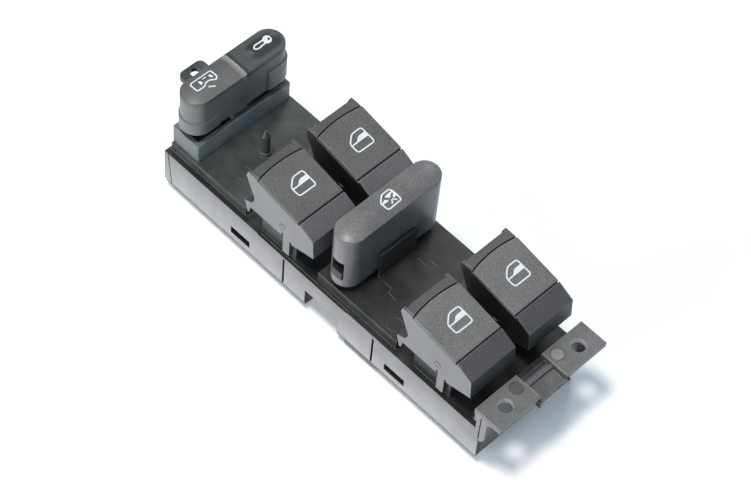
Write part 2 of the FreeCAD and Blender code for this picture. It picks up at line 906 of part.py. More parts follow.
def make_tower(pair, side):
    """A hollow tower between a rocker's cheeks, with a flat-bottomed trunnion on each side."""
    tag = f"{pair}_{side}"
    x, y = pivot_x(pair), rocker_y(side)
    half = D.rocker_width / 2 - D.cheek - D.cheek_gap
    inside = half - D.tower_wall
    top = D.pivot_z + D.tower_top
    shell = carve(
        tag + "_tower",
        block(tag + "_tower_outer", (x - D.tower_front, x + D.tower_rear), (y - half, y + half),
              (floor_low, top)),
        block(tag + "_tower_hollow",
              (x - D.tower_front + D.tower_wall, x + D.tower_rear - D.tower_wall),
              (y - inside, y + inside), (floor_top, top + PAST)),
    )
    reach = D.rocker_width / 2 - D.seat_gap
    pins = carve(
        tag + "_trunnions",
        rod(tag + "_trunnion_bar", D.pivot_radius, reach * 2, x, y - reach, D.pivot_z, "Y"),
        block(tag + "_trunnion_gap", (x - D.pivot_radius * 2, x + D.pivot_radius * 2),
              (y - inside, y + inside),
              (D.pivot_z - D.pivot_radius * 2, D.pivot_z + D.pivot_radius * 2)),
        block(tag + "_trunnion_flat", (x - D.pivot_radius * 2, x + D.pivot_radius * 2),
              (y - reach, y + reach),
              (D.pivot_z - D.pivot_radius * 2, D.pivot_z - D.trunnion_flat)),
    )
    rest_y = y - D.arm_width / 2 - D.rest_gap
    rest = block(tag + "_spring_rest", (x - D.arm_thick / 2, x + D.arm_thick / 2),
                 (rest_y - D.rest_length, rest_y), (floor_top, floor_top + D.blade_height))
    return [shell, pins, rest] + slider_rails(tag, x, y, floor_low, "X")


def tower_openings(pair, side):
    """Slot for the arm and hole for the light guide, through the pocket floor."""
    tag = f"{pair}_{side}"
    x, y = pivot_x(pair), rocker_y(side)
    slot_half = D.arm_width / 2 + D.arm_side_gap
    through = (floor_low - PAST, floor_top + PAST)
    return [
        block(tag + "_arm_slot", (x - D.arm_slot / 2, x + D.arm_slot / 2),
              (y - slot_half, y + slot_half), through),
        guide_hole(tag, x + D.guide_x, y, through),
    ]


def guide_hole(tag, x, y, through):
    """The square hole that a light guide stands in."""
    half = D.guide_half + D.contact_clearance
    return block(tag + "_guide_hole", (x - half, x + half), (y - half, y + half), through)


def make_lock_block():
    """The open block under the lock rocker, with the two posts that carry its trunnions."""
    x = D.lock_x
    outer = rounded(
        "lock_block_outer",
        block("lock_block_blank", (x - D.block_half_x, x + D.block_half_x),
              (-D.block_half_y, D.block_half_y), (deck_low, D.block_top)),
        D.block_corner, upright)
    hollow = block("lock_block_hollow", (x - D.block_half_x + D.wall, x + D.block_half_x - D.wall),
                   (-D.block_half_y + D.wall, D.block_half_y - D.wall),
                   (D.deck_z, D.block_top + PAST))
    half = D.lock_radius - D.cap_wall - D.cheek_gap
    inside = half - D.tower_wall
    posts = carve(
        "lock_posts",
        block("lock_posts_outer", (x - half, x + half), (-D.lock_tower_half, D.lock_tower_half),
              (deck_low, lock_tower_top)),
        block("lock_posts_gap", (x - inside, x + inside),
              (-D.lock_tower_half - PAST, D.lock_tower_half + PAST), (D.deck_z, lock_tower_top + PAST)),
    )
    reach = D.lock_radius - D.seat_gap
    pins = carve(
        "lock_trunnions",
        rod("lock_trunnion_bar", D.pivot_radius, reach * 2, x - reach, 0, D.lock_pivot_z, "X"),
        block("lock_trunnion_gap", (x - inside, x + inside),
              (-D.pivot_radius * 2, D.pivot_radius * 2),
              (D.lock_pivot_z - D.pivot_radius * 2, D.lock_pivot_z + D.pivot_radius * 2)),
        block("lock_trunnion_flat", (x - reach, x + reach),
              (-D.pivot_radius * 2, D.pivot_radius * 2),
              (D.lock_pivot_z - D.pivot_radius * 2, D.lock_pivot_z - D.trunnion_flat)),
    )
    rest_x = x - D.lock_arm_width / 2 - D.lock_rest_gap
    rest = block("lock_spring_rest", (rest_x - D.lock_rest_length, rest_x),
                 (-D.arm_thick / 2, D.arm_thick / 2), (D.deck_z, D.deck_z + D.blade_height))
    return [carve("lock_block", outer, hollow), posts, pins, rest] + slider_rails(
        "lock", x, 0, deck_low, "Y")


def make_lockout_mount():
    """Hooked guide posts, side collars and the spring boss under the lockout button."""
    x = D.child_x
    inside = D.child_radius - D.cap_wall - D.cheek_gap
    hook_low = D.window_low + D.seat_gap
    hook_half = D.window_half - D.hook_side_gap
    pieces = [square("lockout_boss", D.boss_half, (deck_low, D.boss_top))]
    for side, sign in SIDES.items():
        middle = D.post_y * sign
        pieces.append(block(f"lockout_post_{side}", (x - inside, x + inside),
                            (middle - D.post_thick / 2, middle + D.post_thick / 2),
                            (deck_low, D.post_top)))
        tip = (D.child_half_length - D.seat_gap) * sign
        span = (tip, middle) if sign < 0 else (middle, tip)
        pieces.append(block(f"lockout_hook_{side}", (x - hook_half, x + hook_half), span,
                            (hook_low, hook_low + D.hook_height)))
        near = D.child_radius + D.collar_gap
        limits = (near, near + D.collar_wall) if sign > 0 else (-near - D.collar_wall, -near)
        pieces.append(block(f"lockout_collar_{side}", (x + limits[0], x + limits[1]),
                            (-D.collar_half, D.collar_half), (deck_low, D.collar_top)))
    return pieces


def skin_depth(side, depth, face):
    """The Y limits of a shallow cut into one long side, from outside its face."""
    if SIDES[side] < 0:
        return (-face - PAST, -face + depth)
    return (face - depth, face + PAST)


def make_flange():
    """End plate, two ears with screw holes, the stepped channel between them and gussets."""
    plate_front = D.body_rear - D.end_plate
    ears = carve(
        "ears",
        block("ears_plate", (flange_front, flange_rear), (-D.flange_half, D.flange_half),
              (flange_low, D.flange_z)),
        block("ears_gap", (flange_front - PAST, flange_rear + PAST),
              (-D.channel_half, D.channel_half), (flange_low - PAST, D.flange_z + PAST)),
    )
    plate = block("end_plate_form", (plate_front, D.body_rear), (-D.body_half, D.body_half),
                  (D.skirt_bottom, flange_low))
    corner_posts = [
        block("corner_post_left", (flange_front, D.body_rear - D.bite),
              (-D.body_half, -D.screw_half_pitch - D.screw_radius - D.seat_gap),
              (D.deck_z, D.flange_z)),
        block("corner_post_right", (flange_front, D.body_rear - D.bite),
              (D.screw_half_pitch + D.screw_radius + D.seat_gap, D.body_half),
              (D.deck_z, D.flange_z)),
    ]
    wide = D.channel_half + D.channel_wall
    channel_low = flange_low - D.channel_drop
    channel = carve(
        "channel",
        block("channel_pan", (channel_front, channel_lip), (-wide, wide),
              (channel_low, flange_low + D.bite)),
        block("channel_trough", (channel_front + D.channel_wall, channel_lip - D.channel_wall),
              (-D.channel_half, D.channel_half), (channel_low + D.channel_floor, D.flange_z)),
    )
    step = block("channel_step", (plate_front, channel_front + D.channel_wall), (-wide, wide),
                 (channel_low, flange_low - D.bite))
    foot = D.skirt_bottom + D.gusset_foot
    curve = D.gusset_curve
    web = [
        (plate_front, flange_low + D.bite),
        (plate_front, foot),
        (D.body_rear + D.corner_slit * 2, foot),
        (D.body_rear + D.gusset_reach, foot + D.gusset_heel, D.gusset_heel),
        (D.body_rear + D.gusset_reach, flange_low - curve),
        (D.body_rear + D.gusset_reach + curve, flange_low, -curve),
        (flange_rear, flange_low),
        (flange_rear, flange_low + D.bite),
    ]
    webs = [
        prism("gusset_left", "XZ", web, -D.flange_half, -D.flange_half + D.gusset),
        prism("gusset_right", "XZ", web, D.flange_half - D.gusset, D.flange_half),
    ]
    solid = join("flange_solid", ears, plate, channel, step, *corner_posts, *webs)
    cuts = []
    for side, sign in SIDES.items():
        cuts.append(rod(f"screw_hole_{side}", D.screw_radius, D.flange_thick + PAST * 2, screw_x,
                        D.screw_half_pitch * sign, flange_low - PAST))
        cuts.append(block(f"corner_slit_{side}", (D.body_rear, D.body_rear + D.corner_slit),
                          skin_depth(side, D.corner_slit_depth, D.flange_half),
                          (foot - PAST, flange_low)))
    return carve("flange", solid, *cuts)


def make_lug():
    """The locating lug, level with the block's top, and the ribs that carry it."""
    root = D.lock_x - D.block_half_x
    plate = block("lug_plate", (D.lug_front, root + D.wall / 2), (-D.lug_half, D.lug_half),
                  (D.block_top - D.lug_thick, D.block_top))
    front = number(D.lug_front) + 0.1
    soft = rounded("lug_round", plate, D.lug_corner,
                   lambda edge: upright(edge) and edge.CenterOfMass.x < front)
    hole = rod("lug_hole", D.lug_hole_radius, D.lug_thick + PAST * 2, D.lug_hole_x, 0,
               D.block_top - D.lug_thick - PAST)
    brace = [
        (D.body_front, D.ledge_z - D.wall),
        (root + D.wall / 2, D.ledge_z - D.wall),
        (root + D.wall / 2, D.block_top - D.lug_thick / 2),
        (D.lug_hole_x + D.lug_hole_radius * 2, D.block_top - D.lug_thick / 2),
    ]
    edge_y = D.lug_half - D.lug_rib
    return [
        carve("lug", soft, hole),
        prism("lug_rib_left", "XZ", brace, -edge_y - D.lug_rib / 2, -edge_y + D.lug_rib / 2),
        prism("lug_rib_right", "XZ", brace, edge_y - D.lug_rib / 2, edge_y + D.lug_rib / 2),
    ]


def make_pin():
    """The guide pin that stands on the deck, with a collar at its foot and a pointed tip."""
    wide = D.pin_radius + D.pin_collar
    outline = [
        (0, deck_low),
        (wide, deck_low),
        (wide, D.deck_z + D.pin_collar_high),
        (D.pin_radius, D.deck_z + D.pin_collar_high),
        (D.pin_radius, D.pin_top - D.pin_taper),
        (D.pin_radius / 4, D.pin_top),
        (0, D.pin_top),
    ]
    return turned("guide_pin", outline, D.pin_x, D.pin_y)


def wall_cuts():
    """Slots, snap windows and the connector notch, through both long walls."""
    across = (-D.body_half - PAST, D.body_half + PAST)
    keep = block("wall_cut_keep", (D.body_front - PAST, flange_rear),
                 (-D.body_half + D.wall + D.slider_gap, D.body_half - D.wall - D.slider_gap),
                 (0, D.ledge_z))
    shapes = [block("connector_notch", (D.notch_front, D.notch_rear), across,
                    (D.skirt_bottom - PAST, D.notch_top))]
    for tag, x in (("a", D.slot_a_x), ("b", D.slot_b_x)):
        shapes.append(block(f"wall_slot_{tag}", (x - D.wall_slot / 2, x + D.wall_slot / 2), across,
                            (D.skirt_bottom - PAST, floor_low)))
    for tag, x in (("a", D.snap_a_x), ("b", D.snap_b_x)):
        shapes.append(block(f"snap_window_{tag}", (x - D.snap_length / 2, x + D.snap_length / 2),
                            across, (D.snap_low, D.snap_high)))
    return carve("wall_cuts", join("wall_cut_bars", *shapes), keep)


def side_marks():
    """The lower stretch of each long rim and the slanted line near the front end."""
    half_line = D.end_line_width / 2
    line = [
        (D.end_line_top_x - half_line, D.ledge_z + PAST),
        (D.end_line_foot_x - half_line, D.skirt_bottom - PAST),
        (D.end_line_foot_x + half_line, D.skirt_bottom - PAST),
        (D.end_line_top_x + half_line, D.ledge_z + PAST),
    ]
    cuts = []
    for side in SIDES:
        cuts.append(block(f"rim_step_{side}", (D.rim_step_front, D.rim_step_rear),
                          skin_depth(side, D.rim_step_width, D.body_half),
                          (D.ledge_z - D.rim_step, D.ledge_z + PAST)))
        cuts.append(prism(f"end_line_{side}", "XZ", line,
                          *skin_depth(side, D.end_line_depth, D.body_half)))
    return cuts


def deck_guides():
    """Places of the light guides that stand through the deck."""
    return (("lockout", D.child_x, D.deck_guide_y), ("lock", D.lock_x, D.deck_guide_y))


def make_housing():
    front = D.body_front
    hat = prism("hat", "YZ", hat_section(), front, D.body_rear)
    end_step = block("end_step", (front - PAST, front + D.deck_end_inset),
                     (-D.body_half, D.body_half), (D.ledge_z, D.deck_z + PAST))
    front_wall = block("front_wall", (front, front + D.wall), (-D.body_half, D.body_half),
                       (D.skirt_bottom, D.ledge_z))
    riser = block("front_riser", (front + D.deck_end_inset, front + D.deck_end_inset + D.wall),
                  (-D.deck_half, D.deck_half), (floor_low, D.deck_z))
    pockets = [
        block(f"{pair}_pocket", pocket_limits(pair), (-D.body_half, D.body_half),
              (floor_top, D.deck_z + PAST))
        for pair in PAIRS
    ]
    pieces = [carve("hat_cut", hat, end_step, *pockets), front_wall, riser, make_flange(),
              make_pin()]
    pieces += make_lug() + make_lock_block() + make_lockout_mount()
    openings = [wall_cuts()] + side_marks()
    for pair in PAIRS:
        pieces.append(make_pocket(pair))
        for side in SIDES:
            pieces += make_tower(pair, side)
            openings += tower_openings(pair, side)
    slot_half = D.lock_arm_width / 2 + D.arm_play
    through = (deck_low - PAST, D.deck_z + PAST)
    openings.append(block("lock_arm_slot", (D.lock_x - slot_half, D.lock_x + slot_half),
                          (-D.arm_slot / 2, D.arm_slot / 2), through))
    openings.append(square("stem_bore", D.stem_half + D.stem_gap,
                           (deck_low - PAST, D.boss_top + PAST)))
    for tag, x, y in deck_guides():
        openings.append(guide_hole(tag, x, y, through))
    deliver("upper_housing", carve("housing", join("housing_solid", *pieces), *openings))


# Lower cover: a tray that snaps into the walls, with the connector socket
def ring(name, outer_x, outer_y, z, wall):
    """A rectangular wall, closed round, with its outside on the given limits."""
    return carve(
        name,
        block(name + "_outer", outer_x, outer_y, z),
        block(name + "_inner", (outer_x[0] + wall, outer_x[1] - wall),
              (outer_y[0] + wall, outer_y[1] - wall), (z[0] - PAST, z[1] + PAST)),
    )


def make_cover():
    plate_low = D.skirt_bottom - D.cover_plate
    side = D.body_half - D.cover_inset
    plate = block("cover_plate_form", (D.body_front + D.cover_inset, D.body_rear - D.cover_inset),
                  (-side, side), (plate_low, D.skirt_bottom))
    wall_y = D.body_half - D.wall - D.cover_gap
    walls = ring("cover_walls",
                 (D.body_front + D.wall + D.cover_gap, D.body_rear - D.end_plate - D.cover_gap),
                 (-wall_y, wall_y), (plate_low, D.cover_high), D.cover_wall)
    notch_x = (D.notch_front + D.cover_gap, D.notch_rear - D.cover_gap)
    deep = D.body_half - D.notch_depth
    jambs = [
        block("jamb_left", (notch_x[0] - D.cover_wall, notch_x[1] + D.cover_wall),
              (-wall_y, -deep + D.cover_wall), (plate_low, D.cover_high)),
        block("jamb_right", (notch_x[0] - D.cover_wall, notch_x[1] + D.cover_wall),
              (deep - D.cover_wall, wall_y), (plate_low, D.cover_high)),
    ]
    notches = [
        block("notch_left", notch_x, (-D.body_half, -deep), (plate_low - PAST, D.cover_high + PAST)),
        block("notch_right", notch_x, (deep, D.body_half), (plate_low - PAST, D.cover_high + PAST)),
    ]
    wide = (D.socket_x - D.socket_half_x, D.socket_x + D.socket_half_x)
    tall = (-D.socket_half_y, D.socket_half_y)
    shroud = block("socket_shroud", (wide[0] - D.socket_wall, wide[1] + D.socket_wall),
                   (tall[0] - D.socket_wall, tall[1] + D.socket_wall),
                   (0, D.socket_roof + D.socket_wall))
    cavity = [
        block("socket_cavity", wide, tall, (-PAST, D.socket_roof)),
        block("socket_key", (wide[1] - PAST, wide[1] + D.socket_wall / 2), (-D.key_half, D.key_half),
              (-PAST, D.socket_roof)),
    ]
    bars, fronts = [], []
    for tag, x in (("a", D.snap_a_x), ("b", D.snap_b_x)):
        half = D.tongue_length / 2
        for end, sign in SIDES.items():
            face = (wall_y - D.cover_wall, wall_y) if sign > 0 else (-wall_y, D.cover_wall - wall_y)
            bars.append(block(f"tongue_{tag}_{end}", (x - half, x + half), face,
                              (D.cover_high, D.snap_high - D.cover_gap)))
            top = D.snap_high - D.cover_gap * 3
            outline = [
                (wall_y * sign, top),
                (wall_y * sign, top - D.hook_slope),
                ((wall_y + D.hook_proud) * sign, top),
            ]
            fronts.append(prism(f"hook_{tag}_{end}", "YZ", outline, x - half, x + half))
    places = (("a", D.board_post_front_x), ("b", D.board_post_mid_x), ("c", D.board_post_rear_x))
    thick = D.board_post_half
    stands = [
        block(f"board_post_{tag}_{end}", (x - thick, x + thick),
              (D.board_post_y * sign - thick, D.board_post_y * sign + thick),
              (D.skirt_bottom, D.board_z))
        for tag, x in places
        for end, sign in SIDES.items()
    ]
    feet = [
        block(f"foot_{tag}_{end}", (x - D.foot_half, x + D.foot_half),
              (D.foot_y * sign - D.foot_half, D.foot_y * sign + D.foot_half),
              (0, D.skirt_bottom))
        for tag, x in (("a", D.foot_front_x), ("b", D.foot_rear_x))
        for end, sign in SIDES.items()
    ]
    rib_outline = [
        (D.rib_front, D.skirt_bottom - D.cover_plate / 2),
        (D.rib_front, D.rib_low),
        (D.rib_rear, D.rib_low),
        (D.rib_rear + D.rib_taper, D.skirt_bottom - D.cover_plate / 2),
    ]
    ribs = [
        prism("cover_rib_left", "XZ", rib_outline, -side, -side + D.cover_wall),
        prism("cover_rib_right", "XZ", rib_outline, side - D.cover_wall, side),
    ]
    slots = [
        contact_block(f"roof_slot_{row}", row, 0, D.contact_clearance, D.socket_roof - PAST,
                      D.socket_roof + D.socket_wall + PAST, PLACES - 1)
        for row in range(ROWS)
    ]
    solid = join("cover_solid", plate, walls, *jambs, shroud, *bars, *fronts, *stands, *feet, *ribs)
    deliver("lower_cover", carve("cover", solid, *notches, *cavity, *slots))


def contact_block(name, row, place, clearance, low, high, more=0):
    """A contact of the grid with a clearance round it, or a slot that takes more of its row."""
    x = D.socket_x + D.contact_row * (row - (ROWS - 1) / 2)
    y = D.contact_spacing * (place - (PLACES - 1) / 2)
    half = D.contact_size / 2 + clearance
    return block(name, (x - half, x + half), (y - half, y + D.contact_spacing * more + half),
                 (low, high))


# Circuit board, its contacts, lamps and sliders
def make_board():
    side = D.body_half - D.wall - D.board_edge
    board = block("board", (D.body_front + D.wall + D.board_edge,
                            D.body_rear - D.end_plate - D.board_edge),
                  (-side, side), (D.board_z, board_top))
    deliver("circuit_board", board)
    contacts = [
        contact_block(f"contact_{row}_{place}", row, place, 0, D.contact_low, D.board_z)
        for row in range(ROWS)
        for place in range(PLACES)
    ]
    deliver("connector_pins", join("contacts", *contacts))


def lamp(tag, x, y):
    half = D.lamp_size / 2
    return block(f"{tag}_lamp", (x - half, x + half), (y - half, y + half),
                 (board_top, board_top + D.lamp_height))


def light_guide(label, x, y, seat, top):
    """A clear square bar over a lamp, hung by its flange in a floor."""
    half, wide = D.guide_half, D.guide_flange
    bar = block(label + "_bar", (x - half, x + half), (y - half, y + half),
                (board_top + D.lamp_height + D.lamp_gap, top))
    flange = block(label + "_flange", (x - wide, x + wide), (y - wide, y + wide),
                   (seat, seat + D.guide_flange_thick))
    deliver(label, join(label + "_form", bar, flange))


def slider_form(name, along):
    """A slider over the point 0,0: a block with a flared pocket for the tip of an arm."""
    long, wide = D.slider_length / 2, D.slider_width / 2
    top = board_top + D.slider_height
    x, y = ((-long, long), (-wide, wide)) if along == "X" else ((-wide, wide), (-long, long))
    body = block(name + "_body", x, y, (board_top, top))
    half = D.arm_thick / 2 + D.arm_play
    deep = spring_reach[along][0] + D.arm_side_gap
    centre = D.arm_tip_z + D.arm_thick / 2
    outline = [
        (-half, board_top + D.slider_floor),
        (half, board_top + D.slider_floor),
        (half, centre),
        (half + D.slider_flare, top + D.slider_gap),
        (-half - D.slider_flare, top + D.slider_gap),
        (-half, centre),
    ]
    pocket = prism(name + "_pocket", "XZ" if along == "X" else "YZ", outline, -deep, deep)
    return carve(name, body, pocket)


def spring_form(name, seat, along):
    """A flat spring bent to a U over the point 0,0: it grips its rest and the arm between."""
    inner = D.arm_thick / 2 + D.blade_gap
    outer = inner + D.blade
    arm_half, gap, rest = spring_reach[along]
    far = arm_half + D.blade_end
    near = -arm_half - gap - rest - D.blade_gap
    outline = [
        (near - D.blade, -outer),
        (near - D.blade, outer),
        (far, outer),
        (far, inner),
        (near, inner),
        (near, -inner),
        (far, -inner),
        (far, -outer),
    ]
    if along == "X":
        outline = [(v, u) for u, v in outline]
    return prism(name, "XY", outline, seat, seat + D.blade_height)


def make_latch():
    """The latching switch on the board, bored for the stem."""
    x = D.child_x
    body = block("latch_body", (x - D.latch_front, x + D.latch_rear),
                 (-D.latch_half_y, D.latch_half_y), (board_top, D.latch_top))
    low = D.stem_low - D.button_travel - D.travel_spare
    bore = square("latch_bore", D.stem_half + D.latch_gap, (low, D.latch_top + PAST))
    deliver("latch_switch", carve("latch", body, bore))


make_lock()
make_lockout()
make_coil()
make_housing()
make_cover()
make_board()
make_latch()

rocker_form = make_rocker()
pad_form = pad_slab("pad_form", D.seam_gap, 0)
slider = slider_form("slider_form", "X")
spring = spring_form("spring_form", floor_top, "X")
lamps = []
for pair in PAIRS:
    for side in SIDES:
        tag = f"{pair}_{side}"
        x, y = pivot_x(pair), rocker_y(side)
        copy_of(f"{tag}_rocker", rocker_form, x, y, D.pivot_z)
        copy_of(f"{tag}_pad", pad_form, x, y, D.pivot_z)
        copy_of(f"{tag}_slider", slider, x, y, 0)
        copy_of(f"{tag}_centring_spring", spring, x, y, 0)
        light_guide(f"{tag}_light_guide", x + D.guide_x, y, floor_top, D.guide_top)
        lamps.append(lamp(tag, x + D.guide_x, y))
copy_of("lock_slider", slider_form("lock_slider_form", "Y"), D.lock_x, 0, 0)
copy_of("lock_centring_spring", spring_form("lock_spring_form", D.deck_z, "Y"), D.lock_x, 0, 0)
for tag, x, y in deck_guides():
    light_guide(f"{tag}_light_guide", x, y, D.deck_z, D.deck_guide_top)
    lamps.append(lamp(tag, x, y))
deliver("indicator_lamps", join("lamps", *lamps))

# Check every feature, then write one file for each sub-part
doc.recompute()
for obj in doc.Objects:
    if "Invalid" in obj.State or "Error" in obj.State:
        raise RuntimeError(f"{obj.Name} failed to rebuild: {obj.State}")
os.makedirs("parts", exist_ok=True)
for label, obj in made.items():
    shape = obj.Shape
    if shape.isNull() or not shape.isValid():
        raise RuntimeError(f"{label} has no valid shape")
    shape.exportStep(f"parts/{label}.step")
    print(label, len(shape.Solids), round(shape.Volume, 1))
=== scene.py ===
import math

import bmesh
import bpy
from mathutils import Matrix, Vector
from mathutils.bvhtree import BVHTree


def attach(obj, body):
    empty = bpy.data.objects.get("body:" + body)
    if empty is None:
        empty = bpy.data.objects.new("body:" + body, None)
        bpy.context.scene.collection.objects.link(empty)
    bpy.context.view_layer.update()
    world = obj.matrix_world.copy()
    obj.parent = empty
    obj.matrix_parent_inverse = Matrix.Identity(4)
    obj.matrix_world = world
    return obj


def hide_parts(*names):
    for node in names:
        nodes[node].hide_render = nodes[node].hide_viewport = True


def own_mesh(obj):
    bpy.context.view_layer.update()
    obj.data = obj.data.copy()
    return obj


# The look of a driver's door switch panel: its materials, soft edges, symbols and mould marks
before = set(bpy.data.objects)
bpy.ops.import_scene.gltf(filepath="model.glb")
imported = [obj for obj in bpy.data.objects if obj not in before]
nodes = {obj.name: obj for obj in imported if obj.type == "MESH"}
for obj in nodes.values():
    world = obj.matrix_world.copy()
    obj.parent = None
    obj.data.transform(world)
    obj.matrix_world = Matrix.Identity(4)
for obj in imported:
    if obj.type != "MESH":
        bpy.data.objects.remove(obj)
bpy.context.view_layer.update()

MM = 0.001
ROCKERS = ("front_left", "front_right", "rear_left", "rear_right")

# Places on the panel in mm, as the solids have them
BODY_FRONT = -78.8
BODY_REAR = 84.4
BODY_HALF = 26.2
SKIRT_BOTTOM = 4.7
LEDGE_Z = 21.1
DECK_Z = 25.4
DECK_HALF = 23.9
DECK_REAR = 81.2
FLANGE_LOW = 30.0
FLANGE_TOP = 33.1
CHANNEL_HALF = 6.4
CHANNEL_TOP = 31.9
SCREW_X = 87.6
SCREW_Y = 18.4
SCREW_RADIUS = 2.9
PIVOT_X = {"front": -16.5, "rear": 61.4}
PIVOT_Y = {"left": -14.5, "right": 14.5}
PIVOT_Z = 36.5
PIVOT_RADIUS = 1.3
ROCKER_HALF = 10.98
LOCK_X = -70.7
LOCK_RADIUS = 6.2
LOCK_PIVOT_Z = 43.1
LOCK_PIVOT_RADIUS = 1.4
LOCK_EDGE_Z = 56.3
BLOCK_HALF_X = 6.9
ROLL_START = -1.8
ROLL_END = 1.4
DISH_Y = 15.0
DISH_HALF_X = 4.2
DISH_HALF_Y = 7.9
CAP_SIDE_TOP = 54.5


# Small helpers for node trees and objects
def tree_of(owner):
    """The emptied node tree of a material or a world."""
    owner.use_nodes = True
    tree = owner.node_tree
    tree.nodes.clear()
    return tree


def add(tree, kind, **inputs):
    """A new node, with its inputs set by name."""
    node = tree.nodes.new(kind)
    for name, value in inputs.items():
        node.inputs[name.replace("_", " ")].default_value = value
    return node


def combine(tree, operation, first, second=0.0):
    """One Math node whose sides are sockets or plain numbers."""
    node = tree.nodes.new("ShaderNodeMath")
    node.operation = operation
    for socket, value in zip(node.inputs, (first, second)):
        if isinstance(value, (int, float)):
            socket.default_value = value
        else:
            tree.links.new(value, socket)
    return node.outputs[0]


def ramp(tree, source, low, high, low_value, high_value):
    """The source moved from one range to another, and held at its ends."""
    node = tree.nodes.new("ShaderNodeMapRange")
    node.inputs["From Min"].default_value = low
    node.inputs["From Max"].default_value = high
    node.inputs["To Min"].default_value = low_value
    node.inputs["To Max"].default_value = high_value
    tree.links.new(source, node.inputs["Value"])
    return node.outputs["Result"]


def linked(name, data):
    """A new object in the scene."""
    thing = bpy.data.objects.new(name, data)
    bpy.context.scene.collection.objects.link(thing)
    return thing


# Camera, floor and light, in metres, millimetres of lens, radians and watts
CAMERA_AT = (0.33905849, -0.38901103, 0.74371240)
CAMERA_TURN = (0.61438824, -0.06273454, 0.79648103)
CAMERA_LENS = 117.3993
CAMERA_SENSOR = 36.0
FLOOR_HALF = 3.0
FLOOR_COLOUR = (0.95, 0.95, 0.95, 1)
FLOOR_LIFT = 0.14
WORLD_LIGHT = (0.43, 0.70, 1.0, 1)
WORLD_STRENGTH = 0.37
LIGHT_DISTANCE = 1.6


def make_camera():
    data = bpy.data.cameras.new("camera")
    data.lens = CAMERA_LENS
    data.sensor_width = CAMERA_SENSOR
    camera = linked("camera", data)
    camera.location = CAMERA_AT
    camera.rotation_euler = CAMERA_TURN
    bpy.context.scene.camera = camera


def seen_directly(tree):
    """One where a camera, glossy or transmission ray looks, and nought where light bounces."""
    rays = tree.nodes.new("ShaderNodeLightPath").outputs
    seen = combine(tree, "MAXIMUM", rays["Is Camera Ray"], rays["Is Glossy Ray"])
    return combine(tree, "MAXIMUM", seen, rays["Is Transmission Ray"])


def make_floor():
    """A white floor with a faint glow of its own, so that it stays white in the picture."""
    half = FLOOR_HALF
    corners = [(-half, -half, 0), (half, -half, 0), (half, half, 0), (-half, half, 0)]
    mesh = bpy.data.meshes.new("floor")
    mesh.from_pydata(corners, [], [(0, 1, 2, 3)])
    floor = linked("floor", mesh)
    material = bpy.data.materials.new("floor_white")
    tree = tree_of(material)
    out = tree.nodes.new("ShaderNodeOutputMaterial")
    diffuse = add(tree, "ShaderNodeBsdfDiffuse", Color=FLOOR_COLOUR)
    glow = add(tree, "ShaderNodeEmission", Color=(1, 1, 1, 1))
    lift = combine(tree, "MULTIPLY", seen_directly(tree), FLOOR_LIFT)
    both = tree.nodes.new("ShaderNodeAddShader")
    tree.links.new(lift, glow.inputs["Strength"])
    tree.links.new(diffuse.outputs[0], both.inputs[0])
    tree.links.new(glow.outputs[0], both.inputs[1])
    tree.links.new(both.outputs[0], out.inputs["Surface"])
    floor.data.materials.append(material)


def make_world():
    """White where it is seen, and a soft sky light where it lights the part."""
    world = bpy.data.worlds.new("studio")
    bpy.context.scene.world = world
    tree = tree_of(world)
    out = tree.nodes.new("ShaderNodeOutputWorld")
    light = add(tree, "ShaderNodeBackground", Color=WORLD_LIGHT, Strength=WORLD_STRENGTH)
    white = add(tree, "ShaderNodeBackground", Color=(1, 1, 1, 1), Strength=1.0)
    mix = tree.nodes.new("ShaderNodeMixShader")
    tree.links.new(seen_directly(tree), mix.inputs["Fac"])
    tree.links.new(light.outputs[0], mix.inputs[1])
    tree.links.new(white.outputs[0], mix.inputs[2])
    tree.links.new(mix.outputs[0], out.inputs["Surface"])


def area_light(name, direction, size, power, colour):
    """A round lamp that looks back at the part from the given direction."""
    data = bpy.data.lights.new(name, "AREA")
    data.shape = "DISK"
    data.size = size
    data.energy = power
    data.color = colour
    light = linked(name, data)
    way = Vector(direction).normalized()
    light.location = way * LIGHT_DISTANCE
    light.rotation_mode = "QUATERNION"
    light.rotation_quaternion = way.to_track_quat("Z", "Y")


def make_lights():
    area_light("key", (-0.06, -0.20, 0.975), size=0.34, power=16.9, colour=(1.0, 0.95, 0.885))
    area_light("near_fill", (-0.15, -0.95, 0.27), size=0.8, power=19.0, colour=(1.0, 0.985, 0.96))
    area_light("back_strip", (-0.38, 0.70, 0.60), size=0.35, power=4.5, colour=(1.0, 0.97, 0.92))


# Materials
# Edge tones: the pale one is partly worn plastic and partly painted highlight; the dark one is a dark
# line along the edges.
EDGE_TONE = (0.40, 0.40, 0.39)
EDGE_DARK = (0.016, 0.017, 0.017)
EDGE_RADIUS = 0.40
EDGE_SAMPLES = 6
EDGE_START = 0.985
EDGE_FULL = 0.86
LOOKING_START = 0.80
LOOKING_FULL = 0.95
GRAIN_LOW = 0.36
GRAIN_HIGH = 0.64
SLOW_LOW = 0.3
SLOW_HIGH = 0.7
ROUGH_SPREAD = 0.06


def coordinates(tree):
    return tree.nodes.new("ShaderNodeTexCoord").outputs["Object"]


def part_of(tree, vector, axis):
    """One part, X, Y or Z, of a vector socket."""
    split = tree.nodes.new("ShaderNodeSeparateXYZ")
    tree.links.new(vector, split.inputs[0])
    return split.outputs[axis]


def noise(tree, size, detail=2.0, roughness=0.5):
    """Noise whose spots are about the given size in mm."""
    node = add(tree, "ShaderNodeTexNoise", Scale=1.0 / (size * MM), Detail=detail, Roughness=roughness)
    tree.links.new(coordinates(tree), node.inputs["Vector"])
    return node.outputs["Fac"]


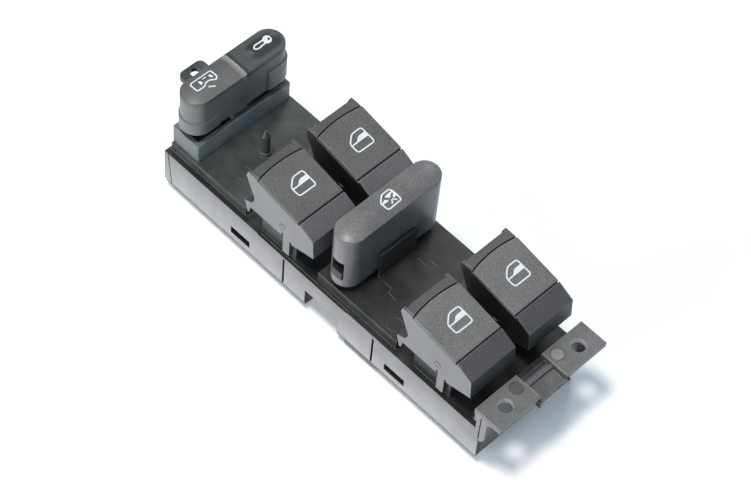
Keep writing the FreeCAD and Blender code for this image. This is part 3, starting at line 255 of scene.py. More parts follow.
def colour_between(tree, source, dark, light):
    """A mix of two colours, each a triple or a socket."""
    node = tree.nodes.new("ShaderNodeMix")
    node.data_type = "RGBA"
    colours = [socket for socket in node.inputs if socket.type == "RGBA"]
    for socket, value in zip(colours, (dark, light)):
        if isinstance(value, tuple):
            socket.default_value = (*value, 1)
        else:
            tree.links.new(value, socket)
    tree.links.new(source, node.inputs["Factor"])
    return [socket for socket in node.outputs if socket.type == "RGBA"][0]


def bump(tree, source, distance, strength, under=None):
    """A normal raised by the source, over another normal where one is given."""
    node = add(tree, "ShaderNodeBump", Strength=strength, Distance=distance)
    tree.links.new(source, node.inputs["Height"])
    if under is not None:
        tree.links.new(under, node.inputs["Normal"])
    return node.outputs["Normal"]


def edges_of(tree, soft):
    """One along the edges and nought on the open faces, for the edge tone, which is partly worn plastic
    and partly painted highlight where it is pale.
    """
    flat = tree.nodes.new("ShaderNodeNewGeometry")
    dot = tree.nodes.new("ShaderNodeVectorMath")
    dot.operation = "DOT_PRODUCT"
    tree.links.new(soft, dot.inputs[0])
    tree.links.new(flat.outputs["Normal"], dot.inputs[1])
    return ramp(tree, dot.outputs["Value"], EDGE_START, EDGE_FULL, 0.0, 1.0)


def shaded(name, **inputs):
    """A new material with one Principled shader, as (material, tree, shader)."""
    material = bpy.data.materials.new(name)
    tree = tree_of(material)
    out = tree.nodes.new("ShaderNodeOutputMaterial")
    shader = add(tree, "ShaderNodeBsdfPrincipled", **inputs)
    tree.links.new(shader.outputs[0], out.inputs["Surface"])
    return material, tree, shader


class Plastic:
    """Moulded plastic: grain, slow mottling, soft edges in an edge tone that is partly worn and partly
    painted highlight where it is pale, and a gloss that changes with them.

    Its colour is laid down from the bottom up. A mask is a socket that is one where a tone
    shows. It comes from a point's place, held against limits in mm, and from the way its
    face looks.
    """

    def __init__(self, name, rough, grain_size, grain_depth, mottle_size=14.0, specular=0.5):
        self.material, self.tree, self.shader = shaded(name, Specular_IOR_Level=specular)
        self.grain = noise(self.tree, grain_size, 2.0, 0.6)
        self.slow = noise(self.tree, mottle_size, 4.0, 0.55)
        self.soft = add(self.tree, "ShaderNodeBevel", Radius=EDGE_RADIUS * MM)
        self.soft.samples = EDGE_SAMPLES
        self.rough = rough
        self.grain_depth = grain_depth
        self.colour = None

    def work(self, operation, first, second=0.0):
        return combine(self.tree, operation, first, second)

    def both(self, first, *others):
        """One where every mask is one, or a mask made weaker by a number."""
        for other in others:
            first = self.work("MULTIPLY", first, other)
        return first

    def at(self, axis):
        """Where a point is along an axis of the object's frame, in metres."""
        return part_of(self.tree, coordinates(self.tree), axis)

    def away(self, place, middle=0.0):
        """How far a place is from a middle that is given in mm."""
        return self.work("ABSOLUTE", self.work("SUBTRACT", place, middle * MM))

    def distance(self, across, along):
        """The length of a line from its two parts."""
        squares = [self.work("POWER", part, 2.0) for part in (across, along)]
        return self.work("SQRT", self.work("ADD", *squares))

    def above(self, place, start, end):
        """Nought below start and one above end, both in mm."""
        return ramp(self.tree, place, start * MM, end * MM, 0.0, 1.0)

    def below(self, place, start, end):
        """One below start and nought above end, both in mm."""
        return ramp(self.tree, place, start * MM, end * MM, 1.0, 0.0)

    def facing(self, axis):
        """How far a face looks along an axis of the object's frame."""
        normal = self.tree.nodes.new("ShaderNodeTexCoord").outputs["Normal"]
        return part_of(self.tree, normal, axis)

    def looking(self, axis):
        """One on faces that look along an axis, either way, and nought on the others."""
        either_way = self.work("ABSOLUTE", self.facing(axis))
        return ramp(self.tree, either_way, LOOKING_START, LOOKING_FULL, 0.0, 1.0)

    def rim(self):
        """One half way round the turn from a top to its wall."""
        upward = self.facing("Z")
        rising = ramp(self.tree, upward, 0.12, 0.34, 0.0, 1.0)
        falling = ramp(self.tree, upward, 0.52, 0.74, 1.0, 0.0)
        return self.both(rising, falling)

    def tone(self, dark, light, speck=0.3):
        """The mottled colour between two tones, with a share of fine specks."""
        fine = ramp(self.tree, self.grain, GRAIN_LOW, GRAIN_HIGH, 0.0, 1.0)
        wide = ramp(self.tree, self.slow, SLOW_LOW, SLOW_HIGH, 0.0, 1.0)
        share = self.work("ADD", self.both(fine, speck), self.both(wide, 1.0 - speck))
        return colour_between(self.tree, share, dark, light)

    def mix(self, mask, first, second):
        return colour_between(self.tree, mask, first, second)

    def paint(self, mask, dark, light, speck=0.3):
        """Lay a mottled tone over the colour so far, where the mask is one."""
        self.colour = self.mix(mask, self.colour, self.tone(dark, light, speck))

    def finish(self, edge_share=0.0, gloss=None, edge=EDGE_TONE):
        """Join colour, edges in the edge tone (partly worn and partly painted highlight where it is
        pale), gloss and grain to the shader, and give the material.
        """
        tree = self.tree
        soft = self.soft.outputs[0]
        colour = self.colour
        if edge_share:
            worn = self.both(edges_of(tree, soft), edge_share)
            colour = self.mix(worn, colour, edge)
        tree.links.new(colour, self.shader.inputs["Base Color"])
        rough = ramp(tree, self.slow, SLOW_LOW, SLOW_HIGH, self.rough - ROUGH_SPREAD,
                     self.rough + ROUGH_SPREAD)
        if gloss is not None:
            rough = self.work("SUBTRACT", rough, gloss)
        tree.links.new(rough, self.shader.inputs["Roughness"])
        grained = bump(tree, self.grain, self.grain_depth * MM, 0.8, soft)
        tree.links.new(grained, self.shader.inputs["Normal"])
        return self.material


def plastic(name, dark, light, rough, grain_size, grain_depth):
    """A plastic of one tone all over."""
    made = Plastic(name, rough, grain_size, grain_depth)
    made.colour = made.tone(dark, light)
    return made.finish()


def housing_plastic():
    """Dark matte deck, a satin skirt painted paler towards its foot as a painted reflection of the
    floor, and a flange painted paler as painted light, with paler edges that are partly worn and partly
    painted highlight.
    """
    made = Plastic("housing_plastic", rough=0.36, grain_size=0.35, grain_depth=0.02,
                   mottle_size=9.0, specular=0.34)
    x = made.at("X")
    z = made.at("Z")
    aside = made.away(made.at("Y"))
    endways = made.looking("X")
    low = made.below(z, LEDGE_Z + 0.1, LEDGE_Z + 0.5)
    at_rear = made.above(x, DECK_REAR, DECK_REAR + 0.2)
    outside = made.work("MAXIMUM", low, at_rear)

    front = made.tone((0.022, 0.028, 0.028), (0.066, 0.075, 0.072), 0.25)
    rear = made.tone((0.008, 0.010, 0.010), (0.030, 0.034, 0.033), 0.25)
    made.colour = made.mix(made.above(x, start=-45.0, end=15.0), front, rear)

    # Painted light: the block round the lock's foot is painted paler than the deck, and its faces that
    # look along X paler still.
    block = made.both(made.below(made.away(x, LOCK_X), BLOCK_HALF_X + 0.2, BLOCK_HALF_X + 0.4),
                      made.above(z, DECK_Z + 0.1, DECK_Z + 1.1))
    made.paint(block, (0.092, 0.102, 0.101), (0.170, 0.182, 0.179))
    made.paint(made.both(block, endways), (0.190, 0.200, 0.200), (0.320, 0.335, 0.330))

    # Painted light: the end walls of the skirt are painted a mid tone, to go with the painted
    # reflection on the long walls.
    half_length = (BODY_REAR - BODY_FRONT) / 2
    from_middle = made.away(x, (BODY_REAR + BODY_FRONT) / 2)
    ends = made.both(made.above(from_middle, half_length - 0.4, half_length - 0.2), endways, outside)
    made.paint(ends, (0.05, 0.051, 0.051), (0.09, 0.091, 0.091))

    # Painted shade: the ledge along each side is painted darker than the deck.
    ledge = made.both(made.above(aside, DECK_HALF + 0.05, DECK_HALF + 0.15), low)
    made.paint(ledge, (0.009, 0.010, 0.009), (0.026, 0.027, 0.026))

    # Painted reflection: the long walls of the skirt are painted pale grey, paler towards their foot,
    # for the bright floor they reflect.
    wall = made.both(made.above(aside, BODY_HALF - 1.0, BODY_HALF - 0.8), outside, made.looking("Y"))
    upper = made.tone((0.16, 0.16, 0.16), (0.22, 0.22, 0.22), 0.15)
    foot = made.tone((0.28, 0.28, 0.28), (0.37, 0.37, 0.365), 0.15)
    side = made.mix(made.below(z, SKIRT_BOTTOM, LEDGE_Z - 1.1), upper, foot)
    made.colour = made.mix(wall, made.colour, side)

    # Painted light: the top of the flange is painted paler than the deck.
    flange = made.both(at_rear, made.above(z, FLANGE_TOP - 2.1, FLANGE_TOP - 0.2))
    made.paint(flange, (0.085, 0.085, 0.085), (0.185, 0.185, 0.18), 0.55)

    # Painted reflection: the rear channel is painted paler, and it is glossier too.
    channel = made.both(made.above(x, BODY_REAR + 0.1, BODY_REAR + 0.3),
                        made.below(aside, CHANNEL_HALF, CHANNEL_HALF + 0.2),
                        made.below(z, CHANNEL_TOP, CHANNEL_TOP + 0.2))
    made.paint(channel, (0.05, 0.052, 0.053), (0.20, 0.202, 0.203), 0.5)

    # Painted light: the inner wall of each flange hole is painted pale.
    from_screw = made.distance(made.away(x, SCREW_X), made.away(aside, SCREW_Y))
    hole = made.both(made.below(from_screw, SCREW_RADIUS + 0.05, SCREW_RADIUS + 0.15),
                     made.above(z, FLANGE_LOW, FLANGE_LOW + 0.6))
    made.paint(hole, (0.24, 0.24, 0.235), (0.40, 0.40, 0.39), 0.4)

    # The edge tone is stronger towards the rear, where it is partly worn and partly painted highlight,
    # and weak on the ledge.
    rubbed = ramp(made.tree, at_rear, 0.0, 1.0, 0.22, 0.70)
    spared = ramp(made.tree, ledge, 0.0, 1.0, 1.0, 0.2)
    return made.finish(edge_share=made.both(rubbed, spared), gloss=made.both(channel, 0.18))


def lock_plastic():
    """The lock rocker: satin near half, a polished roll painted pale as a painted highlight, a painted
    shadow just past it, a darker far half with a dish in it painted dark as painted shade, and its far
    end painted paler as a painted reflection.
    """
    made = Plastic("lock_plastic", rough=0.40, grain_size=0.30, grain_depth=0.02, specular=0.36)
    x = made.at("X")
    y = made.at("Y")
    z = made.at("Z")
    top = made.above(z, LOCK_EDGE_Z - 2.3, LOCK_EDGE_Z - 1.3)
    side = made.below(z, LOCK_EDGE_Z - 2.3, LOCK_EDGE_Z - 1.3)

    made.colour = made.tone((0.105, 0.107, 0.106), (0.185, 0.187, 0.185), 0.6)
    # Painted reflection: the sides towards the far end are painted paler.
    far_side = made.both(side, made.above(y, start=12.0, end=20.0))
    made.paint(far_side, (0.16, 0.162, 0.162), (0.26, 0.262, 0.262), 0.6)

    near_front = made.tone((0.052, 0.053, 0.052), (0.098, 0.098, 0.095), 0.6)
    near_rear = made.tone((0.080, 0.080, 0.078), (0.150, 0.149, 0.144), 0.6)
    near = made.mix(made.above(x, LOCK_X - 4.3, LOCK_X + 3.7), near_front, near_rear)
    made.colour = made.mix(top, made.colour, near)

    far = made.both(made.above(y, ROLL_END - 0.2, ROLL_END + 0.1), top)
    made.paint(far, (0.034, 0.040, 0.043), (0.068, 0.076, 0.080), 0.6)

    # Painted highlight: the roll is painted pale cream, and it is glossier too.
    roll = made.both(made.above(y, ROLL_START + 0.4, ROLL_START + 2.0),
                     made.below(y, ROLL_END - 0.2, ROLL_END), top)
    made.paint(roll, (0.21, 0.206, 0.195), (0.33, 0.325, 0.305), 0.5)

    # Painted shadow: a dark band just past the roll, at the foot of the step down to the far half.
    roll_step_shadow = made.both(made.above(y, ROLL_END - 0.2, ROLL_END),
                       made.below(y, ROLL_END + 0.8, ROLL_END + 2.0), top)
    made.paint(roll_step_shadow, (0.010, 0.011, 0.012), (0.020, 0.022, 0.023), 0.5)

    # Painted shade: the dish in the far half is painted near black.
    straight = (DISH_HALF_Y - DISH_HALF_X) * MM
    along = made.work("MAXIMUM", made.work("SUBTRACT", made.away(y, DISH_Y), straight), 0.0)
    from_dish = made.distance(made.away(x, LOCK_X), along)
    dish = made.both(made.below(from_dish, DISH_HALF_X - 1.0, DISH_HALF_X + 0.3), top)
    made.paint(dish, (0.007, 0.008, 0.009), (0.018, 0.020, 0.021), 0.5)

    made.colour = made.mix(made.both(made.rim(), 0.8), made.colour, EDGE_DARK)
    return made.finish(edge_share=0.75, gloss=made.both(roll, 0.20), edge=EDGE_DARK)


def at_rear_rockers(made):
    """One on what belongs to the rear rockers, nought on what belongs to the front ones."""
    return made.above(made.at("X"), start=20.0, end=30.0)


def rocker_plastic():
    """Window rocker: grained top, lip and slopes, with plain cheeks; the lip, the rear rockers and the
    inner cheeks are painted darker as painted shade, and the outer cheeks paler as a painted
    reflection.
    """
    made = Plastic("rocker_plastic", rough=0.46, grain_size=0.34, grain_depth=0.04)
    aside = made.away(made.at("Y"))
    sideways = made.looking("Y")
    # Painted shade: the lip in front of the pivot is painted darker than the slopes behind it, and the
    # rear rockers darker than the front ones.
    lip = made.tone((0.020, 0.022, 0.023), (0.066, 0.068, 0.070), 0.75)
    skirt = made.tone((0.044, 0.046, 0.048), (0.138, 0.141, 0.144), 0.75)
    rear = made.tone((0.020, 0.022, 0.024), (0.070, 0.073, 0.076), 0.75)
    past_pivot = made.above(made.at("X"), PIVOT_X["front"] - 5.5, PIVOT_X["front"] + 2.5)
    front = made.mix(past_pivot, lip, skirt)
    made.colour = made.mix(at_rear_rockers(made), front, rear)

    # Painted shade: the cheeks that face the gap between the rockers are painted near black.
    inner_cheek = made.both(sideways, made.below(aside, start=5.0, end=6.0))
    made.paint(inner_cheek, (0.010, 0.011, 0.011), (0.024, 0.026, 0.026))
    # Painted reflection: the outer cheeks are painted paler, and they are a little glossier.
    outer_cheek = made.both(sideways, made.above(aside, start=24.0, end=25.0))
    made.paint(outer_cheek, (0.145, 0.146, 0.146), (0.185, 0.186, 0.186), 0.2)
    return made.finish(edge_share=0.35, gloss=made.both(outer_cheek, 0.10))


def pad_plastic():
    """Grained pads: those at the rear are paler."""
    made = Plastic("pad_plastic", rough=0.52, grain_size=0.36, grain_depth=0.05)
    front = made.tone((0.032, 0.032, 0.031), (0.122, 0.121, 0.118), 0.78)
    rear = made.tone((0.052, 0.052, 0.050), (0.190, 0.188, 0.183), 0.78)
    made.colour = made.mix(at_rear_rockers(made), front, rear)
    return made.finish(edge_share=0.2)


def cap_plastic():
    """The lockout cap: satin, its end walls and far part painted paler as a painted reflection, a
    painted highlight on the crest of its near end, and a dark line along its edges.
    """
    made = Plastic("cap_plastic", rough=0.38, grain_size=0.36, grain_depth=0.05)
    y = made.at("Y")
    z = made.at("Z")
    made.colour = made.tone((0.046, 0.047, 0.047), (0.170, 0.171, 0.171), 0.7)

    # Painted reflection: the end walls of the cap are painted paler, and the walls towards its far end
    # paler still.
    side = made.below(z, CAP_SIDE_TOP - 2.0, CAP_SIDE_TOP)
    near = made.both(made.looking("Y"), side)
    made.paint(near, (0.105, 0.106, 0.107), (0.230, 0.231, 0.231), 0.6)
    far = made.both(made.above(y, start=12.0, end=22.0), side)
    made.paint(far, (0.250, 0.252, 0.254), (0.420, 0.422, 0.424), 0.6)
    # Painted highlight: the crest at the near end of the top is painted paler.
    crest = made.both(made.below(y, start=-19.0, end=-10.0),
                      made.above(z, CAP_SIDE_TOP, CAP_SIDE_TOP + 1.0))
    made.paint(crest, (0.060, 0.061, 0.060), (0.215, 0.215, 0.210), 0.75)

    made.colour = made.mix(made.both(made.rim(), 0.7), made.colour, EDGE_DARK)
    return made.finish(edge_share=0.55, edge=EDGE_DARK)


def cover_plastic():
    """The lower cover: black, with its long sides painted a little paler as a painted reflection."""
    made = Plastic("cover_plastic", rough=0.50, grain_size=0.30, grain_depth=0.02)
    made.colour = made.tone((0.030, 0.031, 0.032), (0.055, 0.056, 0.057))
    # Painted reflection: the long sides are painted paler.
    aside = made.away(made.at("Y"))
    long_side = made.both(made.looking("Y"), made.above(aside, start=20.0, end=21.0))
    made.paint(long_side, (0.075, 0.075, 0.075), (0.12, 0.12, 0.118))
    return made.finish()


def metal(name, dark, light, rough, scratch):
    """Bright metal with fine scratches, whose size is in mm."""
    material, tree, shader = shaded(name, Metallic=1.0)
    slow = noise(tree, 2.0, 3.0)
    fine = noise(tree, scratch)
    tree.links.new(colour_between(tree, slow, dark, light), shader.inputs["Base Color"])
    gloss = ramp(tree, fine, SLOW_LOW, SLOW_HIGH, rough - 0.06, rough + 0.08)
    tree.links.new(gloss, shader.inputs["Roughness"])
    tree.links.new(bump(tree, fine, 0.01 * MM, 0.4), shader.inputs["Normal"])
    return material


def clear(name, dark, light):
    """Clear acrylic with a polish that changes a little."""
    material, tree, shader = shaded(name, IOR=1.49, Transmission_Weight=0.85)
    slow = noise(tree, 3.0)
    tree.links.new(colour_between(tree, slow, dark, light), shader.inputs["Base Color"])
    gloss = ramp(tree, slow, SLOW_LOW, SLOW_HIGH, 0.04, 0.12)
    tree.links.new(gloss, shader.inputs["Roughness"])
    return material


def print_white(name, worn, fresh):
    """The symbols: pale paint, a little worn, with fine pits from the grain under it."""
    material, tree, shader = shaded(name, Roughness=0.5)
    fine = noise(tree, 0.3)
    slow = noise(tree, 2.5)
    pitted = ramp(tree, fine, 0.2, 0.45, 0.75, 1.0)
    rubbed = ramp(tree, slow, SLOW_LOW, SLOW_HIGH, 0.85, 1.0)
    left = combine(tree, "MULTIPLY", pitted, rubbed)
    tree.links.new(colour_between(tree, left, worn, fresh), shader.inputs["Base Color"])
    tree.links.new(bump(tree, fine, 0.01 * MM, 0.5), shader.inputs["Normal"])
    return material


HOUSING = housing_plastic()
LOCK = lock_plastic()
ROCKER = rocker_plastic()
PAD = pad_plastic()
CAP = cap_plastic()
COVER = cover_plastic()

# Each with its dark and light tone, its roughness, and the size and depth of its grain in mm
SLIDER = plastic("slider_plastic", (0.62, 0.60, 0.54), (0.72, 0.70, 0.65), 0.4, 0.5, 0.01)
LATCH = plastic("latch_plastic", (0.02, 0.02, 0.022), (0.04, 0.04, 0.043), 0.35, 0.4, 0.01)
BOARD = plastic("board_mask", (0.008, 0.055, 0.030), (0.012, 0.085, 0.045), 0.3, 1.6, 0.03)
LAMP = plastic("lamp_body", (0.70, 0.66, 0.50), (0.82, 0.80, 0.70), 0.35, 0.8, 0.01)
# Painted highlight: the rims of round mould marks and the step lines on the deck are real, and their
# pale tone is painted highlight.
MARK = plastic("mould_mark", (0.04, 0.042, 0.041), (0.105, 0.108, 0.106), 0.35, 0.5, 0.02)
# A pale tone: painted light on the right ejector disc, and painted highlight on the lines along the
# rear channel.
DISC = plastic("ejector_disc", (0.15, 0.15, 0.147), (0.24, 0.24, 0.235), 0.35, 0.5, 0.02)
# Painted shade: the near ejector disc is painted dark.
DARK_DISC = plastic("ejector_painted_shade", (0.030, 0.031, 0.032), (0.055, 0.056, 0.057), 0.5, 0.30, 0.02)
# Painted shade: near black, for the broken rings round the pivots.
SHADE = plastic("pivot_ring_shade", (0.006, 0.006, 0.006), (0.016, 0.016, 0.016), 0.5, 0.5, 0.02)

GUIDE = clear("guide_clear", (0.86, 0.90, 0.92), (0.95, 0.97, 0.98))
PINS = metal("pin_tin", (0.60, 0.58, 0.52), (0.78, 0.76, 0.70), rough=0.25, scratch=0.3)
STEEL = metal("spring_steel", (0.42, 0.42, 0.43), (0.60, 0.60, 0.62), rough=0.28, scratch=0.2)
WHITE = print_white("symbol_paint", (0.48, 0.49, 0.50), (0.76, 0.77, 0.78))


def finish_with(obj, material):
    obj.data.materials.clear()
    obj.data.materials.append(material)


def finish_nodes():
    """Give every CAD node its material."""
    plain = {
        "lower_cover": COVER,
        "circuit_board": BOARD,
        "connector_pins": PINS,
        "latch_switch": LATCH,
        "indicator_lamps": LAMP,
        "lockout_spring": STEEL,
        "lockout_stem": COVER,
        "lockout_light_guide": GUIDE,
        "lock_slider": SLIDER,
        "lock_centring_spring": STEEL,
        "lock_light_guide": GUIDE,
        "upper_housing": HOUSING,
        "lockout_button": CAP,
        "lock_rocker": LOCK,
    }
    for place in ROCKERS:
        plain[place + "_rocker"] = ROCKER
        plain[place + "_pad"] = PAD
        plain[place + "_slider"] = SLIDER
        plain[place + "_centring_spring"] = STEEL
        plain[place + "_light_guide"] = GUIDE
    for name, material in plain.items():
        finish_with(nodes[name], material)


# Dressed copies with soft moulded edges
WELD = 0.002 * MM
FLAT_ANGLE = math.radians(0.3)
CREASE_ANGLE = math.radians(24)
BEVEL_ANGLE = math.radians(35)
FACE_WEIGHT = 90


def dressed(node, name, body, material, width):
    """A copy of a node whose sharp edges are rounded by the given width in mm."""
    mesh = nodes[node].data.copy()
    mesh.name = name
    work = bmesh.new()
    work.from_mesh(mesh)
    bmesh.ops.remove_doubles(work, verts=work.verts, dist=WELD)
    bmesh.ops.dissolve_limit(work, angle_limit=FLAT_ANGLE, verts=work.verts, edges=work.edges)
    work.to_mesh(mesh)
    work.free()
    if "custom_normal" in mesh.attributes:
        mesh.attributes.remove(mesh.attributes["custom_normal"])
    piece = linked(name, mesh)
    for polygon in mesh.polygons:
        polygon.use_smooth = True
    mesh.set_sharp_from_angle(angle=CREASE_ANGLE)
    bevel = piece.modifiers.new("soft_edges", "BEVEL")
    bevel.width = width * MM
    bevel.segments = 2
    bevel.limit_method = "ANGLE"
    bevel.angle_limit = BEVEL_ANGLE
    bevel.use_clamp_overlap = True
    bevel.harden_normals = False
    evened = piece.modifiers.new("even_shading", "WEIGHTED_NORMAL")
    evened.keep_sharp = True
    evened.weight = FACE_WEIGHT
    finish_with(piece, material)
    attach(piece, body)
    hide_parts(node)


def coil_spring():
    piece = linked("lockout_spring_coil", nodes["lockout_spring"].data.copy())
    finish_with(piece, STEEL)
    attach(piece, "housing")
    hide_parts("lockout_spring")
    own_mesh(piece)


def mesh_of(work, name):
    """The finished mesh of a bmesh, with its faces turned outwards."""
    bmesh.ops.recalc_face_normals(work, faces=work.faces)
    mesh = bpy.data.meshes.new(name)
    work.to_mesh(mesh)
    work.free()
    return mesh


# Flat shapes in mm, each a list of (x, y) points and a list of faces
CORNER_STEPS = 4
CORNER_REACH = 0.45
STROKE_STEP = 0.5
FILL_STEP = 0.6


def moved(points, x, y):
    """The same points, each moved by (x, y)."""
    return [(x + a, y + b) for a, b in points]


def rounded_corners(points, radius, closed=True):
    """The same outline with its corners rounded."""
    out = []
    count = len(points)
    for i, p in enumerate(points):
        if not closed and i in (0, count - 1):
            out.append(p)
            continue
        here = Vector(p)
        back = Vector(points[i - 1]) - here
        ahead = Vector(points[(i + 1) % count]) - here
        reach = min(radius, back.length * CORNER_REACH, ahead.length * CORNER_REACH)
        a = here + back.normalized() * reach
        b = here + ahead.normalized() * reach
        for k in range(CORNER_STEPS + 1):
            t = k / CORNER_STEPS
            out.append(tuple(a * (1 - t) ** 2 + here * (2 * t * (1 - t)) + b * t ** 2))
    return out


def stroke(points, width, closed=True):
    """A ribbon of quads along the points."""
    line = [Vector(p) for p in points]
    if closed:
        line.append(line[0])
    fine = [line[0]]
    for a, b in zip(line, line[1:]):
        pieces = max(1, int((b - a).length / STROKE_STEP))
        fine += [a.lerp(b, (k + 1) / pieces) for k in range(pieces)]
    if closed:
        fine.pop()
    count = len(fine)
    flat = []
    for i, p in enumerate(fine):
        before = fine[i - 1] if closed or i else p
        after = fine[(i + 1) % count] if closed or i < count - 1 else p
        way = (after - before).normalized()
        side = Vector((-way.y, way.x)) * (width / 2)
        flat += [tuple(p + side), tuple(p - side)]
    faces = []
    for i in range(count if closed else count - 1):
        a = 2 * i
        b = 2 * ((i + 1) % count)
        faces.append([a, a + 1, b + 1, b])
    return flat, faces


def filled(points):
    """A filled outline, cut into strips so that it follows a curved top."""
    work = bmesh.new()
    verts = [work.verts.new((x, y, 0)) for x, y in points]
    work.faces.new(verts)
    for axis in (0, 1):
        way = Vector((1, 0, 0)) if axis == 0 else Vector((0, 1, 0))
        high = max(p[axis] for p in points)
        cut = min(p[axis] for p in points) + FILL_STEP
        while cut < high:
            everything = work.verts[:] + work.edges[:] + work.faces[:]
            bmesh.ops.bisect_plane(work, geom=everything, plane_co=way * cut, plane_no=way)
            cut += FILL_STEP
    bmesh.ops.triangulate(work, faces=work.faces)
    bmesh.ops.recalc_face_normals(work, faces=work.faces)
    work.verts.index_update()
    flat = [(v.co.x, v.co.y) for v in work.verts]
    faces = [[v.index for v in face.verts] for face in work.faces]
    if work.faces[:][0].normal.z < 0:
        faces = [face[::-1] for face in faces]
    work.free()
    return flat, faces


# Thin pieces laid on a node's top, in mm. Those that overlap lie at different heights.
PRINT_HIGH = 0.09
PRINT_MIDDLE = 0.075
PRINT_LOW = 0.06
PRINT_DEEP = 0.10
OVER_ALL = 200
surfaces = {}


def on_top(node, x, y):
    """Where a line straight down through (x, y) meets the node's top, in metres."""
    if node not in surfaces:
        mesh = nodes[node].data
        surfaces[node] = BVHTree.FromPolygons([v.co for v in mesh.vertices],
                                              [list(p.vertices) for p in mesh.polygons])
    start = Vector((x, y, OVER_ALL)) * MM
    at, normal = surfaces[node].ray_cast(start, Vector((0, 0, -1)))[:2]
    return at, normal


def laid(node, shape, name, body, material, high=PRINT_HIGH):
    """A closed thin skin from a flat shape, which stands so much proud of the node's top."""
    flat, faces = shape
    tops = []
    lows = []
    for x, y in flat:
        at, normal = on_top(node, x, y)
        tops.append(at + normal * high * MM)
        lows.append(at - normal * PRINT_DEEP * MM)
    count = len(flat)
    work = bmesh.new()
    verts = [work.verts.new(p) for p in tops + lows]
    edges = set()
    for face in faces:
        work.faces.new([verts[i] for i in face])
        work.faces.new([verts[i + count] for i in reversed(face)])
        edges.update(zip(face, face[1:] + face[:1]))
    for a, b in sorted(edges):
        if (b, a) not in edges:
            work.faces.new([verts[b], verts[a], verts[a + count], verts[b + count]])
    piece = linked(name, mesh_of(work, name))
    finish_with(piece, material)
    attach(piece, body)


# Symbols in white paint on the rockers and the button, in mm
LINE = 0.54
CROSS_LINE = 0.9 * LINE
KEY_LINE = 0.6
DOOR_LINE = 0.52
DASH_LINE = 0.5
WINDOW_FRAME = [(-6.75, 4.44), (0.28, 4.76), (0.20, -3.33), (-3.91, -3.58), (-6.75, -0.28)]
WINDOW_SILL = [(-3.07, -3.4), (-3.14, 4.5)]
WINDOW_PANE = [(-4.80, 4.50), (-4.80, 1.5), (-4.5, 0.7), (-3.7, -0.2), (-3.25, -1.1), (-2.85, -1.1),
               (-2.85, 4.50)]
LOCKOUT_FRAME = [(6.68, 3.34), (12.67, 3.36), (12.89, -3.34), (9.32, -3.70), (6.64, -0.57)]
LOCKOUT_PANES = (
    [(7.9, 3.1), (7.78, 2.70), (7.98, 0.1), (8.3, -0.6), (9.5, 0.3), (9.45, 0.95), (8.62, 1.95),
     (8.5, 2.5)],
    [(8.2, 3.1), (9.0, 2.75), (9.9, 1.75), (10.25, 1.6), (10.5, 1.9), (10.4, 3.1)],
    [(9.1, -1.5), (10.2, -0.5), (10.35, -0.9), (10.3, -3.3), (9.7, -3.3)],
)
LOCKOUT_CROSS = ([(10.5, 0.8), (11.0, 1.2), (11.75, 2.1)], [(10.55, 0.45), (11.2, 0.25), (11.95, -0.6)])
KEY_BOW = (-72.15, 18.1)
KEY_BOW_RADIUS = 1.75
KEY_HOLE = (-72.02, 18.8)
KEY_HOLE_RADIUS = 0.55
KEY_STEPS = 28
KEY_BLADE = [(-72.9, 16.7), (-73.0, 12.6), (-72.4, 11.7), (-71.7, 11.7), (-71.2, 12.4), (-71.1, 14.2),
             (-71.35, 14.9), (-71.3, 16.6)]
DOOR_FRAME = [(-74.13, -8.17), (-70.70, -8.15), (-69.72, -8.9), (-69.62, -9.6), (-70.6, -11.1),
              (-70.86, -12.0), (-70.83, -13.2), (-70.0, -14.3), (-69.75, -15.2), (-69.8, -17.6),
              (-70.25, -18.15), (-73.5, -18.1), (-74.17, -17.4)]
DOOR_PARTS = (
    [(-72.85, -9.75), (-72.2, -9.35), (-71.2, -9.3), (-71.15, -9.9), (-71.9, -10.3), (-72.75, -10.3)],
    [(-73.05, -15.1), (-72.5, -14.1), (-71.5, -14.0), (-70.95, -15.2)],
    [(-73.1, -13.0), (-73.0, -11.4), (-72.6, -11.4), (-72.7, -13.0)],
)
DOOR_DASH = [(-68.85, -13.7), (-67.5, -11.4)]


def symbol(node, body, name, shape, high=PRINT_HIGH):
    """One white shape of a symbol, as part of its rocker or button."""
    laid(node, shape, name, body, WHITE, high)


def window_symbol(place):
    end, side = place.split("_")
    at = (PIVOT_X[end], PIVOT_Y[side])
    node = place + "_pad"
    body = place + "_switch"
    frame_line = rounded_corners(moved(WINDOW_FRAME, *at), radius=1.1)
    symbol(node, body, place + "_symbol_frame", stroke(frame_line, LINE))
    sill = stroke(moved(WINDOW_SILL, *at), LINE, closed=False)
    symbol(node, body, place + "_symbol_sill", sill, PRINT_MIDDLE)
    symbol(node, body, place + "_symbol_pane", filled(moved(WINDOW_PANE, *at)), PRINT_LOW)


def lockout_symbol():
    target = ("lockout_button", "lockout_switch")
    frame_line = rounded_corners(LOCKOUT_FRAME, radius=0.9)
    symbol(*target, "lockout_symbol_frame", stroke(frame_line, LINE))
    for i, points in enumerate(LOCKOUT_PANES):
        symbol(*target, "lockout_symbol_pane_%d" % i, filled(points), PRINT_LOW)
    for i, points in enumerate(LOCKOUT_CROSS):
        arm = stroke(points, CROSS_LINE, closed=False)
        symbol(*target, "lockout_symbol_cross_%d" % i, arm, PRINT_MIDDLE)


def key_bow():
    """The round end of the key, with its hole off the middle."""
    flat = []
    faces = []
    for k in range(KEY_STEPS):
        turn = 2 * math.pi * k / KEY_STEPS
        way = Vector((math.cos(turn), math.sin(turn)))
        flat.append(tuple(Vector(KEY_BOW) + way * KEY_BOW_RADIUS))
        flat.append(tuple(Vector(KEY_HOLE) + way * KEY_HOLE_RADIUS))
        here = 2 * k
        after = 2 * ((k + 1) % KEY_STEPS)
        faces.append([here, after, after + 1, here + 1])
    return flat, faces


